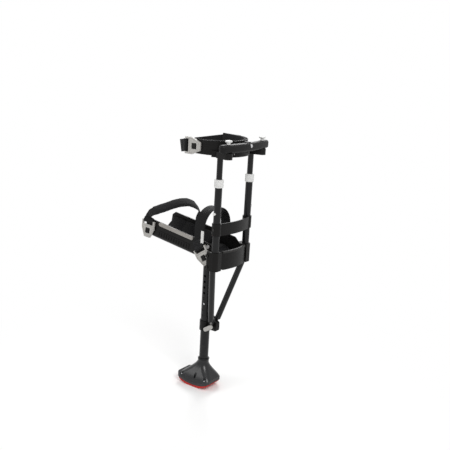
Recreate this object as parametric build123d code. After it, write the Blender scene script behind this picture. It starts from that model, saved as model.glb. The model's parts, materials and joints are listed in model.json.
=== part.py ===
"""Hands free crutch: a knee platform on a leg with a rocker foot, strapped to a bent leg.

Millimetres. +Z is up, +X is the way the wearer walks, and the leg tube's axis is the Z axis.
The origin is the point of the sole under that axis. "outer" is the -Y side, which faces away
from the wearer's other leg, and "inner" is the +Y side.
"""
import os
from math import atan2, cos, degrees, hypot, radians, sin, sqrt, tan

from build123d import *

os.makedirs("parts", exist_ok=True)

# Clearances
SLIDE_FIT = 0.05          # radial gap of every sliding or turning fit
SEAT_GAP = 0.1            # radial gap of a tube in a fixed socket
SOFT_GAP = 0.3            # gap between a soft piece, or a swinging one, and its neighbour
HEAD_GAP = 0.5            # radial gap round a sunk screw head

# Common edge and cut sizes
EDGE_BEVEL = 1.0          # bevel of moulded and turned edges
TAB_CORNER_R = 3.0        # corners of flat tabs and plates
PAST = 1.0                # how far a cut runs past a face
CLEAR = 70.0              # how far a cut runs into the open
STEEP = 0.9               # upward share of an edge's direction, past which it counts as upright
NEAR = 0.1                # distance at which an edge counts as lying on a face

# Overall layout
PLATFORM_Z = 454.0        # underside of the knee cup above the ground
POST_X = 87.0             # the two posts stand this far in front of the leg tube
BAND_RISE = 393.5         # from the cup's underside to the middle of the thigh band
CROSSBAR_RISE = 137.0     # from the cup's underside to the middle of the crossbar
TWIST_COLLAR_RISE = 272.5 # from the cup's underside to the bottom of the twist collars

# Foot
FOOT_LENGTH = 136.0
FOOT_WIDTH = 86.0
FOOT_X = -17.0            # middle of the foot
FOOT_CORNER_R = 17.0
ROCKER_R = 115.0          # the tread's outer curve
SOLE_FLAT = 52.0          # length of the worn-in flat that it stands on
TREAD_THICKNESS = 8.0
TREAD_BACK_R = 170.0      # flatter curve behind the tread, so that its ends taper
TREAD_MARGIN = 2.5        # how far the tread stays inside the core's edge
TREAD_GROOVE = 2.2
TREAD_GROOVE_DEPTH = 1.8
TREAD_GROOVE_PITCH = 13.0
TREAD_GROOVES_EACH_WAY = 4
CORE_THICKNESS = 9.0
RIM_R = 137.0             # the lower edge of the foot shell
SHELL_WALL = 3.5
NECK_Z = 96.0
NECK_WALL = 3.35          # round the leg tube, at the top of the shell
SOCKET_FLOOR = 4.0
SOCKET_WALL = 2.85
NECK_RING = 5.0           # height of the ring on the neck
NECK_RING_PROUD = 0.8
NECK_RING_BEVEL = 1.2
SHELL_MIN_FLAT = 1.0      # half the least flat between two corners of a shell section
FOOT_SCREWS = ((-62.0, 6.0), (-5.0, 12.0), (36.0, 6.0))   # place, and flange under the head
FOOT_SCREW_INSET = 6.0
FOOT_SCREW_R = 2.0
FOOT_SCREW_HEAD_R = 4.0
FOOT_SCREW_HEAD = 2.6
FOOT_SCREW_BITE = 6.3     # how far a screw goes into the core
FOOT_SCREW_CROSS_R = 2.8
FOOT_SCREW_CROSS = 0.5    # half the width of the cross in the screw's head
FOOT_SCREW_CROSS_DEPTH = 1.4
FOOT_BOSS_R = 5.6

# Leg tube and the pierced upper tube that it slides in
LEG_R = 15.75
LEG_WALL = 1.6
LEG_BOTTOM_Z = 34.0
BUTTON_Z = 300.0
LEG_ABOVE_BUTTON = 22.0
UPPER_WALL = 1.2
HOLE_PITCH = 20.0
HOLE_R = 4.4
HOLES_BELOW = 2           # free holes under the one in use: how far the leg lets out
HOLES_ABOVE = 5           # free holes over it: how far the leg takes up
BUTTON_R = 4.15
BUTTON_DOME_R = 9.0
BUTTON_FLANGE_R = 5.2
BUTTON_FLANGE_Y = 7.4
BUTTON_FLANGE = 1.0
SPRING_Y = 5.7
SPRING_LEAF = 0.8
SPRING_BELOW = 40.0       # the spring's closed end below the buttons
SPRING_ABOVE = 8.0        # and its open end above them
TUBE_TOP_DROP = 9.5       # the upper tube's end below the tray's underside

# Leg collar, clamp knob and struts
COLLAR_BOTTOM_Z = 205.0
COLLAR_HEIGHT = 35.0
COLLAR_LIP = 7.0          # the collar's foot, which guides the leg tube alone
COLLAR_WALL = 3.0
EAR_X = 54.0
EAR_Y = 8.0               # half the width over both ears
EAR_SLIT = 1.5            # half the slit's width
EAR_RISE = 8.0            # the ears' top over the upper bolt
EAR_CORNER_R = 7.0
APEX_X = 36.0
APEX_Z = 238.0
KNOB_X = 30.0
KNOB_Z = 223.0
KNOB_LENGTH = 38.0
KNOB_WIDTH = 15.0
KNOB_DEPTH = 12.0
KNOB_Y = 18.0
KNOB_TILT = 33.0
KNOB_EDGE_R = 3.5
KNOB_HUB_R = 6.5
CLAMP_SCREW_R = 3.0
CLAMP_NUT_R = 5.8
CLAMP_NUT = 4.5
BOLT_CAP = 3.5            # height of a bolt's head, and of its nut
BOLT_CAP_R = 5.2
STRUT_R = 10.0
STRUT_WALL = 1.5
STRUT_TAB = 4.0           # thickness of the flat foot
STRUT_TAB_HALF = 9.0
STRUT_TAB_DROP = 7.0      # the flat foot's end below its bolt
STRUT_FOOT = 10.0         # the round tube starts this far above the bolt
STRUT_PLUG = 20.0         # solid length inside the tube's foot
STRUT_TOP_X = 80.0
STRUT_SEAT = 14.0         # how far a strut goes into its corner block

# Knee platform: the cup in front and the shin tray behind, in one moulding
TRAY_TILT = 8.5           # degrees, rear end up
TRAY_REAR = -230.0        # along the tilted floor
TRAY_RISE = 25.5          # underside of the tray, over the leg tube, above the cup's
TRAY_HEIGHT = 61.5
PLATFORM_HALF = 70.0      # half the outside width
PLATFORM_WALL = 3.5
PLATFORM_FLOOR = 5.0
BEND_X = 18.0             # where the floor turns down from the tray to the cup
CUP_X = 52.0              # where the cup's flat floor starts
CUP_SIDE_FRONT_X = 98.0
CUP_NOSE_X = 110.0
CUP_WALL_HEIGHT = 61.0
SIDE_DROP_X = 55.0        # the side wall comes down to the cup's height past here
SIDE_DROP_RUN = 20.0
TRAY_CORNER = 12.0        # the cut at the side walls' rear upper corners
FLOOR_LEAN = 1 / 3        # forward shift of the floor's bends per raised millimetre
PLATFORM_EDGE_R = 14.0
RIB_PITCH = 11.0
RIB_SIZE = 3.0
RIB_PROUD = 1.6
RIB_REAR = -171.0
RIB_COUNT = 13
RIB_TOP = 28.0
TRIM_REAR = -174.0
TRIM_FRONT = -25.0
TRIM_HEIGHT = 13.3
TRIM_THICKNESS = 2.5
TRIM_CORNER_R = 5.3
CUP_EDGE = 1.5            # thickness of the soft edging on the cup's front wall
CUP_EDGE_GRIP = 5.0
CUP_EDGE_HALF = 62.0
SHIN_PAD_REAR = -222.0
SHIN_PAD_FRONT = -30.0
SHIN_PAD_TOP = 50.0
SHIN_TROUGH_R = 60.0
SHIN_TROUGH_Z = 72.0      # the trough's axis above the tray's underside
SHIN_PANELS = 3
SHIN_SEAM_DEPTH = 3.0
KNEE_PAD_REAR = -26.0
KNEE_PAD_FRONT = 102.0
KNEE_PAD_TOPS = ((30.0, 46.0), (60.0, 32.0), (102.0, 36.0))
SIDE_SCREW_X = 50.0
SIDE_SCREW_RISE = 70.0
SIDE_SCREW_R = 6.5
SIDE_SCREW_HEAD = 8.0
SIDE_SCREW_STEM_R = 3.0
HEAD_WALL = 2.5           # of the socket that takes the upper tube, under the platform
HEAD_DROP = 2.0           # its lower end under the cup's underside
HEAD_BOLT_RISE = 5.5
HEAD_FLANGE = 6.0
HEAD_FLANGE_REAR = -42.0
HEAD_FLANGE_FRONT = 17.5
HEAD_FLANGE_SIDE = 6.0    # the flange's side past the socket
HEAD_SCREW_XS = (-35.0, 13.0)
HEAD_SCREW_SIDE = 1.5     # the screws' axes past the socket
HEAD_SCREW_R = 2.0
HEAD_SCREW_CAP_R = 3.8
HEAD_SCREW_CAP = 2.5

# Corner blocks and posts
BLOCK_X0 = 61.0
BLOCK_FRONT_WALL = 4.25   # round each post, in the corner block
BLOCK_OUTER_WALL = 4.75
BLOCK_INNER_WALL = 2.75
BLOCK_HEIGHT = 62.0
BLOCK_FLOOR = 18.0        # from the block's underside to the post's lower end
BLOCK_CORNER_R = 8.0      # rear corner
BLOCK_FRONT_R = 15.0      # front corner, which follows the post
BLOCK_BOLT_R = 3.0
BLOCK_BOLT_X = 67.5
BLOCK_BOLT_RISES = (12.0, 50.0)
POST_R = 11.75
POST_WALL = 1.5
THIN_POST_R = 9.5
THIN_POST_WALL = 1.5
THIN_POST_LENGTH = 280.0
BUSH_LENGTH = 15.0
POST_BUTTON_RISE = 189.0
POST_BUTTON_HEAD_R = 4.5
POST_BUTTON_HEAD = 4.5
POST_BUTTON_STEM_R = 3.0
POST_BUTTON_TRAVEL = 3.0
POST_BUTTON_BEVEL = 0.8
POST_HOLES_EACH_WAY = 3
POST_HOLE_R = 3.4
TWIST_COLLAR_HEIGHT = 26.0
TWIST_COLLAR_WALL = 3.0
TWIST_COLLAR_BEVEL = 1.2
TWIST_COLLAR_LIP = 8.0
TWIST_COLLAR_FLUTES = 12
FLUTE_R = 1.2
BEAD = 0.7                # the ring that keeps a twist collar on its post
BEAD_RISE = 8.0
BEAD_WIDTH = 3.0
CROSSBAR_HEIGHT = 40.0
CROSSBAR_WALL = 3.5
CROSSBAR_NOSE_X = 112.0   # its front face, in the middle
CROSSBAR_END_X = 98.0
SLEEVE_WALL = 3.45
CROSSBAR_SCREW_R = 2.0
CROSSBAR_SCREW_CAP_R = 4.0
CROSSBAR_SCREW_CAP = 2.0
CROSSBAR_SCREW_BEVEL = 0.5

# Thigh frame
BAND_HEIGHT = 46.0
BAND_FRONT = 93.0         # the band's outer face in front of BAND_X
BAND_SIDE = 14.0          # the band's outer face outside the posts' axes
BAND_X = 15.0
BAND_REAR_X = -12.0
BAND_WALL = 2.6
BAND_PAD = 10.0
PAD_ROLL_R = 4.0          # rounding of the pad's edges
PAD_PROUD = 4.0           # the pad stands this far over the band's edges
PAD_REAR_X = -40.0
YOKE_DROP = 27.5          # the yoke's underside below the band's middle
YOKE_HEIGHT = 20.0
YOKE_WALL = 8.0
YOKE_BOSS_R = 14.0
YOKE_REAR_X = 60.0
RIVET_R = 2.5
RIVET_HEAD = 1.5
RIVET_Y = 40.0
BAND_CORNER_R = 8.0
GRIP_HEIGHT = 26.0
GRIP_DEPTH = 26.0
GRIP_PAST_STUD = 21.5     # from a stud to the grip's end
GRIP_END_X = 117.5
GRIP_NOSE_X = 130.0
GRIP_EDGE_R = 8.0
GRIP_TAB_HALF = 9.0
GRIP_TAB = 3.0
GRIP_SCREW_RISE = 17.0
GRIP_SCREW_R = 2.5
GRIP_SCREW_CAP_R = 5.0
GRIP_SCREW_CAP = 2.0
GRIP_SCREW_LENGTH = 12.0
STUD_SIDE = 8.0           # the grip's studs stand this far outside the posts
STUD_R = 4.0
STUD_LIFT = 2.0           # the stud's end above the yoke's underside
THUMB_HEAD_R = 11.0
THUMB_HEAD = 5.5
THUMB_EDGE_R = 1.5
THUMB_STEM_R = 6.0
THUMB_STEM = 7.0

# Webbing and its hook buckles
WEB = 40.0
WEB_THICKNESS = 2.0
LOOP_R = 3.0              # inside of the webbing's loop round a buckle's bar
BUCKLE_BAR_R = 2.6
BUCKLE_BAR_INSET = 2.0    # the bar's ends inside the buckle's sides
BUCKLE_NOSE = 57.0        # from the bar to the nose
BUCKLE_HALF = 27.0
BUCKLE_SHOULDER = 25.0
BUCKLE_NOSE_HALF = 13.0
BUCKLE_BACK = 3.2
BUCKLE_THICKNESS = 7.0
BUCKLE_SLOT = 11.5
BUCKLE_SLOT_HALF = 21.3
BUCKLE_CORNER_R = 4.0
BUCKLE_RIM = 4.0          # raised rim round the recess in the buckle's face
BUCKLE_RECESS = 1.2
WINDOW_U = 33.0
WINDOW_HALF = 9.5
PEG_CLEARANCE = 1.6
PEG_BASE = 1.5
PEG_BEVEL = 1.2
PEG_TOP = 4.5             # over the buckle's mid plane
THIGH_BUCKLE_X = -35.0
THIGH_STRAP_REAR = 66.0   # how far the strap arches behind the buckle's bar
THIGH_STRAP_TILT = 12.0   # how far it slopes down to the rear
THIGH_ANCHOR_X = 12.0
THIGH_TAIL = 52.0
ANCHOR_ARM = 2.0
ANCHOR_BASE_X = (17.5, 26.0)
ANCHOR_BASE = 3.0
KNEE_BUCKLE_XZ = (17.0, 57.0)
KNEE_BUCKLE_ANGLE = -55.0
KNEE_STRAP_X = 10.0
KNEE_STRAP_TOP = 186.0
KNEE_STRAP_SPRING = 121.0 # where the strap's arch starts
KNEE_STRAP_GUSSET = 86.0  # where the strap is upright at its full width
KNEE_STRAP_END = 58.0     # its lower end on the inner side
KNEE_TAB_X = (19.0, 30.0)
KNEE_TAB_RISE = (76.0, 118.0)
KNEE_TAB = 3.0
ANKLE_BUCKLE_XZ = (-207.0, 108.0)
ANKLE_BUCKLE_ANGLE = -95.0
ANKLE_STRAP_SKEW = 36.0
ANKLE_STRAP_SPRING = 134.0
ANKLE_STRAP_LEAN = 24.0   # how far the arch leans forward from upright
ANKLE_STRAP_FLAT = 9.0    # length of the flat part over the buckle's bar
ANKLE_STRAP_LOW = 108.0   # where the inner twist ends
ANKLE_ARCH = ((-0.89, 8.0), (-0.67, 17.0), (-0.42, 27.0), (-0.17, 37.0), (0.11, 45.0),
              (0.39, 46.0), (0.67, 35.0), (0.87, 19.0))   # share of half the span, and rise
ANKLE_STRAP_END = 74.0
ANCHOR_PLATE = 2.0
ANCHOR_PLATE_HEIGHT = 14.0
ANCHOR_PIN_R = 2.0
ANCHOR_PIN_SPREAD = 9.0
ANCHOR_PIN_INSET = 7.0
SLEEVE_WIDTH = 52.0
SLEEVE_HALF = 4.5
SLEEVE_ENDS = (-0.87, 0.80)   # along the arch, as shares of half its span
BAND_STEPS = 24           # points along each face of a curved band

# Sizes that follow from the ones above
OUTER, INNER = -1, 1
SIDES = {"outer": OUTER, "inner": INNER}
UPPER_BORE = LEG_R + SLIDE_FIT
UPPER_R = UPPER_BORE + UPPER_WALL
POST_Y = PLATFORM_HALF + BLOCK_INNER_WALL + POST_R
BLOCK_X1 = POST_X + POST_R + BLOCK_FRONT_WALL
BLOCK_Y1 = POST_Y + POST_R + BLOCK_OUTER_WALL
BAND_HALF = POST_Y + BAND_SIDE
STUD_Y = POST_Y + STUD_SIDE
GRIP_END_Y = STUD_Y + GRIP_PAST_STUD
NECK_R = LEG_R + NECK_WALL
SOCKET_R = LEG_R + SOCKET_WALL
HEAD_R = UPPER_R + HEAD_WALL
HEAD_FLANGE_HALF = HEAD_R + HEAD_FLANGE_SIDE
HEAD_SCREWS = [(x, side * (HEAD_R + HEAD_SCREW_SIDE)) for x in HEAD_SCREW_XS for side in (OUTER, INNER)]
COLLAR_R = UPPER_R + COLLAR_WALL
COLLAR_TOP_Z = COLLAR_BOTTOM_Z + COLLAR_HEIGHT
LEG_TOP_Z = BUTTON_Z + LEG_ABOVE_BUTTON
TRAY_Z = PLATFORM_Z + TRAY_RISE
TUBE_TOP_Z = TRAY_Z - TUBE_TOP_DROP
POST_BOTTOM_Z = PLATFORM_Z + BLOCK_FLOOR
TWIST_Z = PLATFORM_Z + TWIST_COLLAR_RISE
POST_TOP_Z = TWIST_Z + TWIST_COLLAR_HEIGHT - TWIST_COLLAR_LIP - SOFT_GAP
BAND_Z = PLATFORM_Z + BAND_RISE
YOKE_Z = BAND_Z - YOKE_DROP
GRIP_Z = YOKE_Z + YOKE_HEIGHT
THIN_TOP_Z = GRIP_Z
THIN_BOTTOM_Z = THIN_TOP_Z - THIN_POST_LENGTH
POST_BUTTON_Z = PLATFORM_Z + POST_BUTTON_RISE
BAR_STANDOFF = LOOP_R + WEB_THICKNESS + SOFT_GAP
SOLE_SAG = ROCKER_R - sqrt(ROCKER_R**2 - (SOLE_FLAT / 2) ** 2)
RIM_Z = TREAD_THICKNESS + CORE_THICKNESS
HEAD_BOLT_Z = PLATFORM_Z + HEAD_BOLT_RISE
CUP_TOP_Z = PLATFORM_Z + CUP_WALL_HEIGHT
SIDE_SCREW_Z = PLATFORM_Z + SIDE_SCREW_RISE
POST_HOLE_ZS = [POST_BUTTON_Z + HOLE_PITCH * step
                for step in range(-POST_HOLES_EACH_WAY, POST_HOLES_EACH_WAY + 1)]
GRIP_R = (GRIP_END_Y**2 + (GRIP_NOSE_X - GRIP_END_X) ** 2) / (2 * (GRIP_NOSE_X - GRIP_END_X))
STUD_X = GRIP_NOSE_X - GRIP_R + sqrt(GRIP_R**2 - STUD_Y**2)
TAN_TILT = tan(radians(TRAY_TILT))
COS_TILT = cos(radians(TRAY_TILT))
TRAY_FRAME = Pos(0, 0, TRAY_Z) * Rot(0, TRAY_TILT, 0)


def slab(x0, x1, y0, y1, z0, z1):
    """A box given by its corners."""
    low = (min(x0, x1), min(y0, y1), min(z0, z1))
    return Pos(*low) * Box(abs(x1 - x0), abs(y1 - y0), abs(z1 - z0), align=(Align.MIN,) * 3)


def post(radius, z0, z1, x=0, y=0):
    """A round bar along Z."""
    return Pos(x, y, z0) * Cylinder(radius, z1 - z0, align=(Align.CENTER, Align.CENTER, Align.MIN))


def rod(radius, y0, y1, x, z):
    """A round bar along Y."""
    start = Pos(x, min(y0, y1), z) * Rot(-90, 0, 0)
    return start * Cylinder(radius, abs(y1 - y0), align=(Align.CENTER, Align.CENTER, Align.MIN))


def extrude_y(points, y0, y1):
    """A closed outline of (x, z) points, as a prism from y0 to y1."""
    face = make_face(Polyline([(x, y0, z) for x, z in points], close=True))
    return extrude(face, amount=y1 - y0, dir=(0, 1, 0))


def save(name, *solids):
    """Writes one node: a single solid, or a group of like ones."""
    pieces = [solid for shape in solids for solid in shape.solids()]
    export_step(pieces[0] if len(pieces) == 1 else Compound(pieces), f"parts/{name}.step")


# Foot

def rocker(radius, lowest_z):
    """A solid drum across the foot, whose lowest line is at lowest_z."""
    width = 2 * FOOT_WIDTH
    return rod(radius, -width / 2, width / 2, FOOT_X, lowest_z + radius)


def drum_z(x, radius, lowest_z):
    """Height of such a drum's underside at x."""
    return lowest_z + radius - sqrt(radius**2 - (x - FOOT_X) ** 2)


def foot_block(margin, z0, z1):
    """The foot's rounded outline, drawn in by margin, between two heights."""
    corner = FOOT_CORNER_R - margin / 2
    face = RectangleRounded(FOOT_LENGTH - 2 * margin, FOOT_WIDTH - 2 * margin, corner)
    return extrude(Pos(FOOT_X, 0, z0) * face, amount=z1 - z0)


def make_tread():
    tread = foot_block(TREAD_MARGIN, 0, RIM_Z * 3) & rocker(ROCKER_R, -SOLE_SAG)
    tread -= rocker(TREAD_BACK_R, TREAD_THICKNESS)
    half = TREAD_GROOVE / 2
    for step in range(-TREAD_GROOVES_EACH_WAY, TREAD_GROOVES_EACH_WAY + 1):
        x = FOOT_X + step * TREAD_GROOVE_PITCH
        z = max(drum_z(x, ROCKER_R, -SOLE_SAG), 0)
        tread -= slab(x - half, x + half, -FOOT_WIDTH, FOOT_WIDTH, z - TREAD_THICKNESS,
                      z + TREAD_GROOVE_DEPTH)
    return tread


def foot_screw_spots():
    """Each screw along both sides of the foot: its centre, its tip and the seat of its head."""
    y = FOOT_WIDTH / 2 - FOOT_SCREW_INSET
    for x, flange in FOOT_SCREWS:
        rim = drum_z(x, RIM_R, RIM_Z)
        for side in (OUTER, INNER):
            yield x, side * y, rim - FOOT_SCREW_BITE, rim + flange


def make_foot_core():
    core = foot_block(0, 0, RIM_Z * 3) & rocker(TREAD_BACK_R, TREAD_THICKNESS)
    core -= rocker(RIM_R, RIM_Z)
    for x, y, tip, seat in foot_screw_spots():
        core -= post(FOOT_SCREW_R + SLIDE_FIT, tip, seat, x, y)
    return core


# Height, half length and half width of the foot shell's sections, as shares of the foot
SHELL_SECTIONS = (
    (0.12, 1.00, 1.00),
    (0.33, 0.96, 0.975),
    (0.50, 0.75, 0.81),
    (0.67, 0.51, 0.62),
    (0.83, 0.335, 0.475),
)


def shell_loft(inset, top_z):
    """The bell that runs from the foot's outline up to the round neck."""
    faces = []
    for height, long_share, wide_share in SHELL_SECTIONS:
        length = FOOT_LENGTH * long_share - 2 * inset
        width = FOOT_WIDTH * wide_share - 2 * inset
        corner = min(FOOT_CORNER_R * (1 + height / 3), width / 2 - SHELL_MIN_FLAT) - inset / 2
        centre = FOOT_X * (1 - height)
        faces.append(Pos(centre, 0, height * NECK_Z) * RectangleRounded(length, width, corner))
    neck = 2 * (NECK_R - inset)
    faces.append(Pos(0, 0, top_z) * RectangleRounded(neck, neck, neck / 2 - 2 * NEAR))
    return loft(faces)


def make_foot_shell():
    """A hollow bell with a socket for the leg tube and a boss under each screw."""
    bell = shell_loft(0, NECK_Z)
    under = rocker(RIM_R, RIM_Z)
    shell = (bell - shell_loft(SHELL_WALL, NECK_Z - SHELL_WALL)) & under
    shell += post(SOCKET_R, LEG_BOTTOM_Z - SOCKET_FLOOR, NECK_Z)
    shell -= post(LEG_R + SEAT_GAP, LEG_BOTTOM_Z, NECK_Z)
    for x, y, tip, seat in foot_screw_spots():
        shell += post(FOOT_BOSS_R, 0, NECK_Z / 2, x, y) & bell & under
    for x, y, tip, seat in foot_screw_spots():
        shell -= post(FOOT_SCREW_HEAD_R + HEAD_GAP, seat, NECK_Z, x, y)
        shell -= post(FOOT_SCREW_R + SLIDE_FIT, 0, NECK_Z, x, y)
    return shell


def make_foot_screws():
    screws = []
    long, wide = FOOT_SCREW_CROSS_R, FOOT_SCREW_CROSS
    for x, y, tip, seat in foot_screw_spots():
        top = seat + FOOT_SCREW_HEAD
        head = post(FOOT_SCREW_HEAD_R, seat, top, x, y)
        low = top - FOOT_SCREW_CROSS_DEPTH
        head -= slab(x - long, x + long, y - wide, y + wide, low, top)
        head -= slab(x - wide, x + wide, y - long, y + long, low, top)
        screws.append(head + post(FOOT_SCREW_R, tip + PAST, seat, x, y))
    return screws


def make_neck_ring():
    top = NECK_Z + NECK_RING
    ring = post(NECK_R + NECK_RING_PROUD, NECK_Z, top) - post(LEG_R + SEAT_GAP, NECK_Z, top)
    rim = ring.edges().group_by(Axis.Z)[-1].sort_by(SortBy.RADIUS)[-1]
    return chamfer(rim, NECK_RING_BEVEL)


# Leg tube, its spring buttons and the upper tube that it slides in

def make_leg_tube():
    tube = post(LEG_R, LEG_BOTTOM_Z, LEG_TOP_Z)
    tube -= post(LEG_R - LEG_WALL, LEG_BOTTOM_Z, LEG_TOP_Z)
    return tube - rod(BUTTON_R + SLIDE_FIT, -LEG_R - PAST, LEG_R + PAST, 0, BUTTON_Z)


def make_leg_button(side):
    """A domed button that stands level with the leg tube, on the flange that its spring pushes."""
    top = LEG_R - SLIDE_FIT
    button = rod(BUTTON_R, side * BUTTON_FLANGE_Y, side * top, 0, BUTTON_Z)
    button &= Pos(0, side * (top - BUTTON_DOME_R), BUTTON_Z) * Sphere(BUTTON_DOME_R)
    flange = rod(BUTTON_FLANGE_R, side * BUTTON_FLANGE_Y, side * (BUTTON_FLANGE_Y + BUTTON_FLANGE),
                 0, BUTTON_Z)
    return button + flange


def make_leg_spring():
    """A leaf bent into a U, wide enough to sit against the bore on its four edges."""
    half = sqrt((LEG_R - LEG_WALL - SEAT_GAP) ** 2 - SPRING_Y**2)
    low, high = BUTTON_Z - SPRING_BELOW, BUTTON_Z + SPRING_ABOVE
    inner = SPRING_Y - SPRING_LEAF
    leaf = slab(-half, half, -SPRING_Y, SPRING_Y, low, high)
    return leaf - slab(-half, half, -inner, inner, low + SPRING_LEAF, high)


def make_upper_tube():
    bottom = COLLAR_BOTTOM_Z + COLLAR_LIP + SOFT_GAP
    tube = post(UPPER_R, bottom, TUBE_TOP_Z) - post(UPPER_BORE, bottom, TUBE_TOP_Z)
    for step in range(-HOLES_BELOW, HOLES_ABOVE + 1):
        tube -= rod(HOLE_R, -UPPER_R - PAST, UPPER_R + PAST, 0, BUTTON_Z + step * HOLE_PITCH)
    return tube - rod(CLAMP_SCREW_R + SLIDE_FIT, -UPPER_R - PAST, UPPER_R + PAST, 0, HEAD_BOLT_Z)


def make_tube_head():
    """The socket under the platform that holds the upper tube's top."""
    head = post(HEAD_R, PLATFORM_Z - HEAD_DROP, TRAY_Z + HEAD_R)
    head += TRAY_FRAME * slab(HEAD_FLANGE_REAR, HEAD_FLANGE_FRONT,
                              -HEAD_FLANGE_HALF, HEAD_FLANGE_HALF, -HEAD_FLANGE, 0)
    head -= TRAY_FRAME * slab(-CLEAR, CLEAR, -CLEAR, CLEAR, 0, CLEAR)
    head -= post(UPPER_R + SEAT_GAP, 0, TUBE_TOP_Z)
    head -= rod(CLAMP_SCREW_R + SLIDE_FIT, -HEAD_R - PAST, HEAD_R + PAST, 0, HEAD_BOLT_Z)
    for x, y in HEAD_SCREWS:
        head -= TRAY_FRAME * post(HEAD_SCREW_R + SLIDE_FIT, -HEAD_FLANGE - PAST, 0, x, y)
    return head


def make_head_screws():
    screws = []
    for x, y in HEAD_SCREWS:
        cap = post(HEAD_SCREW_CAP_R, -HEAD_FLANGE - HEAD_SCREW_CAP, -HEAD_FLANGE, x, y)
        cap -= post(HEAD_SCREW_R, -HEAD_FLANGE - HEAD_SCREW_CAP, -HEAD_FLANGE - PAST, x, y)
        screws.append(TRAY_FRAME * (cap + post(HEAD_SCREW_R, -HEAD_FLANGE, PLATFORM_FLOOR / 2, x, y)))
    return screws


def hexagon(radius, y0, y1, x, z):
    """A six-sided bar along Y."""
    base = Plane(origin=(x, min(y0, y1), z), x_dir=(1, 0, 0), z_dir=(0, 1, 0))
    return extrude(base * RegularPolygon(radius, 6), amount=abs(y1 - y0))


def cross_bolt(half_length, x, z):
    """A bolt along Y, its round head on the outer side and its nut on the inner one."""
    bolt = rod(CLAMP_SCREW_R, -half_length, half_length, x, z)
    bolt += rod(BOLT_CAP_R, -half_length - BOLT_CAP, -half_length, x, z)
    bolt -= hexagon(CLAMP_SCREW_R, -half_length - BOLT_CAP, -half_length - BOLT_CAP / 2, x, z)
    return bolt + hexagon(BOLT_CAP_R, half_length, half_length + BOLT_CAP, x, z)


# Collar, clamp and struts

def make_leg_collar():
    """A split ring on the upper tube's foot, with two ears that the clamp screw draws together."""
    lip_z = COLLAR_BOTTOM_Z + COLLAR_LIP
    ears = slab(0, EAR_X, -EAR_Y, EAR_Y, lip_z, APEX_Z + EAR_RISE)
    ears = fillet(ears.edges().filter_by(Axis.Y).group_by(Axis.X)[-1], EAR_CORNER_R)
    collar = post(COLLAR_R, COLLAR_BOTTOM_Z, COLLAR_TOP_Z) + ears
    collar -= post(UPPER_R + SEAT_GAP, lip_z, APEX_Z + EAR_RISE)
    collar -= post(LEG_R + SLIDE_FIT, COLLAR_BOTTOM_Z, COLLAR_TOP_Z)
    collar -= slab(0, EAR_X, -EAR_SLIT, EAR_SLIT, COLLAR_BOTTOM_Z, APEX_Z + EAR_RISE)
    for x, z in ((APEX_X, APEX_Z), (KNOB_X, KNOB_Z)):
        collar -= rod(CLAMP_SCREW_R + SLIDE_FIT, -EAR_Y, EAR_Y, x, z)
    return collar


def make_clamp_knob():
    """A rounded bar on a hub, which turns the clamp screw by hand."""
    face = Plane(origin=(KNOB_X, -KNOB_Y, KNOB_Z), x_dir=(1, 0, 0), z_dir=(0, -1, 0))
    bar = extrude(face * Rot(0, 0, KNOB_TILT) * SlotOverall(KNOB_LENGTH, KNOB_WIDTH), KNOB_DEPTH)
    bar = fillet(bar.edges().filter_by(Plane.XZ), KNOB_EDGE_R)
    knob = bar + rod(KNOB_HUB_R, -EAR_Y - SOFT_GAP, -KNOB_Y - PAST, KNOB_X, KNOB_Z)
    return knob - rod(CLAMP_SCREW_R, -KNOB_Y - KNOB_DEPTH / 2, 0, KNOB_X, KNOB_Z)


def make_clamp_screw():
    return rod(CLAMP_SCREW_R, -KNOB_Y - KNOB_DEPTH / 2, EAR_Y + 2 * BOLT_CAP, KNOB_X, KNOB_Z)


def make_clamp_nut():
    nut = hexagon(CLAMP_NUT_R, EAR_Y, EAR_Y + CLAMP_NUT, KNOB_X, KNOB_Z)
    return nut - rod(CLAMP_SCREW_R + SLIDE_FIT, 0, EAR_Y + 2 * BOLT_CAP, KNOB_X, KNOB_Z)


def strut_bar(side, radius, start, end):
    """A round bar on a strut's axis, from its foot (0) past the corner block's underside (1)."""
    foot = Vector(APEX_X, side * (EAR_Y + STRUT_R + SOFT_GAP), APEX_Z + STRUT_FOOT)
    run = Vector(STRUT_TOP_X, side * POST_Y, PLATFORM_Z) - foot
    way = run.normalized()
    base = Plane(origin=foot + way * start, z_dir=way)
    return extrude(base * Circle(radius), amount=run.length + end - start)


def make_strut(side):
    """A tube with a plugged foot that goes over into a flat tab on the collar's ear."""
    near = side * EAR_Y
    far = side * (EAR_Y + STRUT_TAB)
    foot_z = APEX_Z + STRUT_FOOT
    strut = strut_bar(side, STRUT_R, -STRUT_R, STRUT_SEAT)
    strut -= strut_bar(side, STRUT_R - STRUT_WALL, STRUT_PLUG, STRUT_SEAT)
    strut -= slab(-EAR_X, EAR_X * 2, -POST_Y, POST_Y, 0, foot_z)
    tab = slab(APEX_X - STRUT_TAB_HALF, APEX_X + STRUT_TAB_HALF, near, far, APEX_Z, foot_z + STRUT_R)
    tab += rod(STRUT_TAB_HALF, near, far, APEX_X, APEX_Z)
    tab -= slab(0, EAR_X * 2, near, far, 0, APEX_Z - STRUT_TAB_DROP)
    return strut + tab - rod(CLAMP_SCREW_R + SLIDE_FIT, near, far, APEX_X, APEX_Z)


# Knee platform

def tray_point(x, z):
    """A point of the tilted tray's own side view, in the upright one."""
    tilt = radians(TRAY_TILT)
    return x * cos(tilt) + z * sin(tilt), TRAY_Z - x * sin(tilt) + z * cos(tilt)


def tray_line(x, height):
    """The point over x of a line that runs this high over the tray's underside."""
    return x, TRAY_Z - x * TAN_TILT + height / COS_TILT


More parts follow.
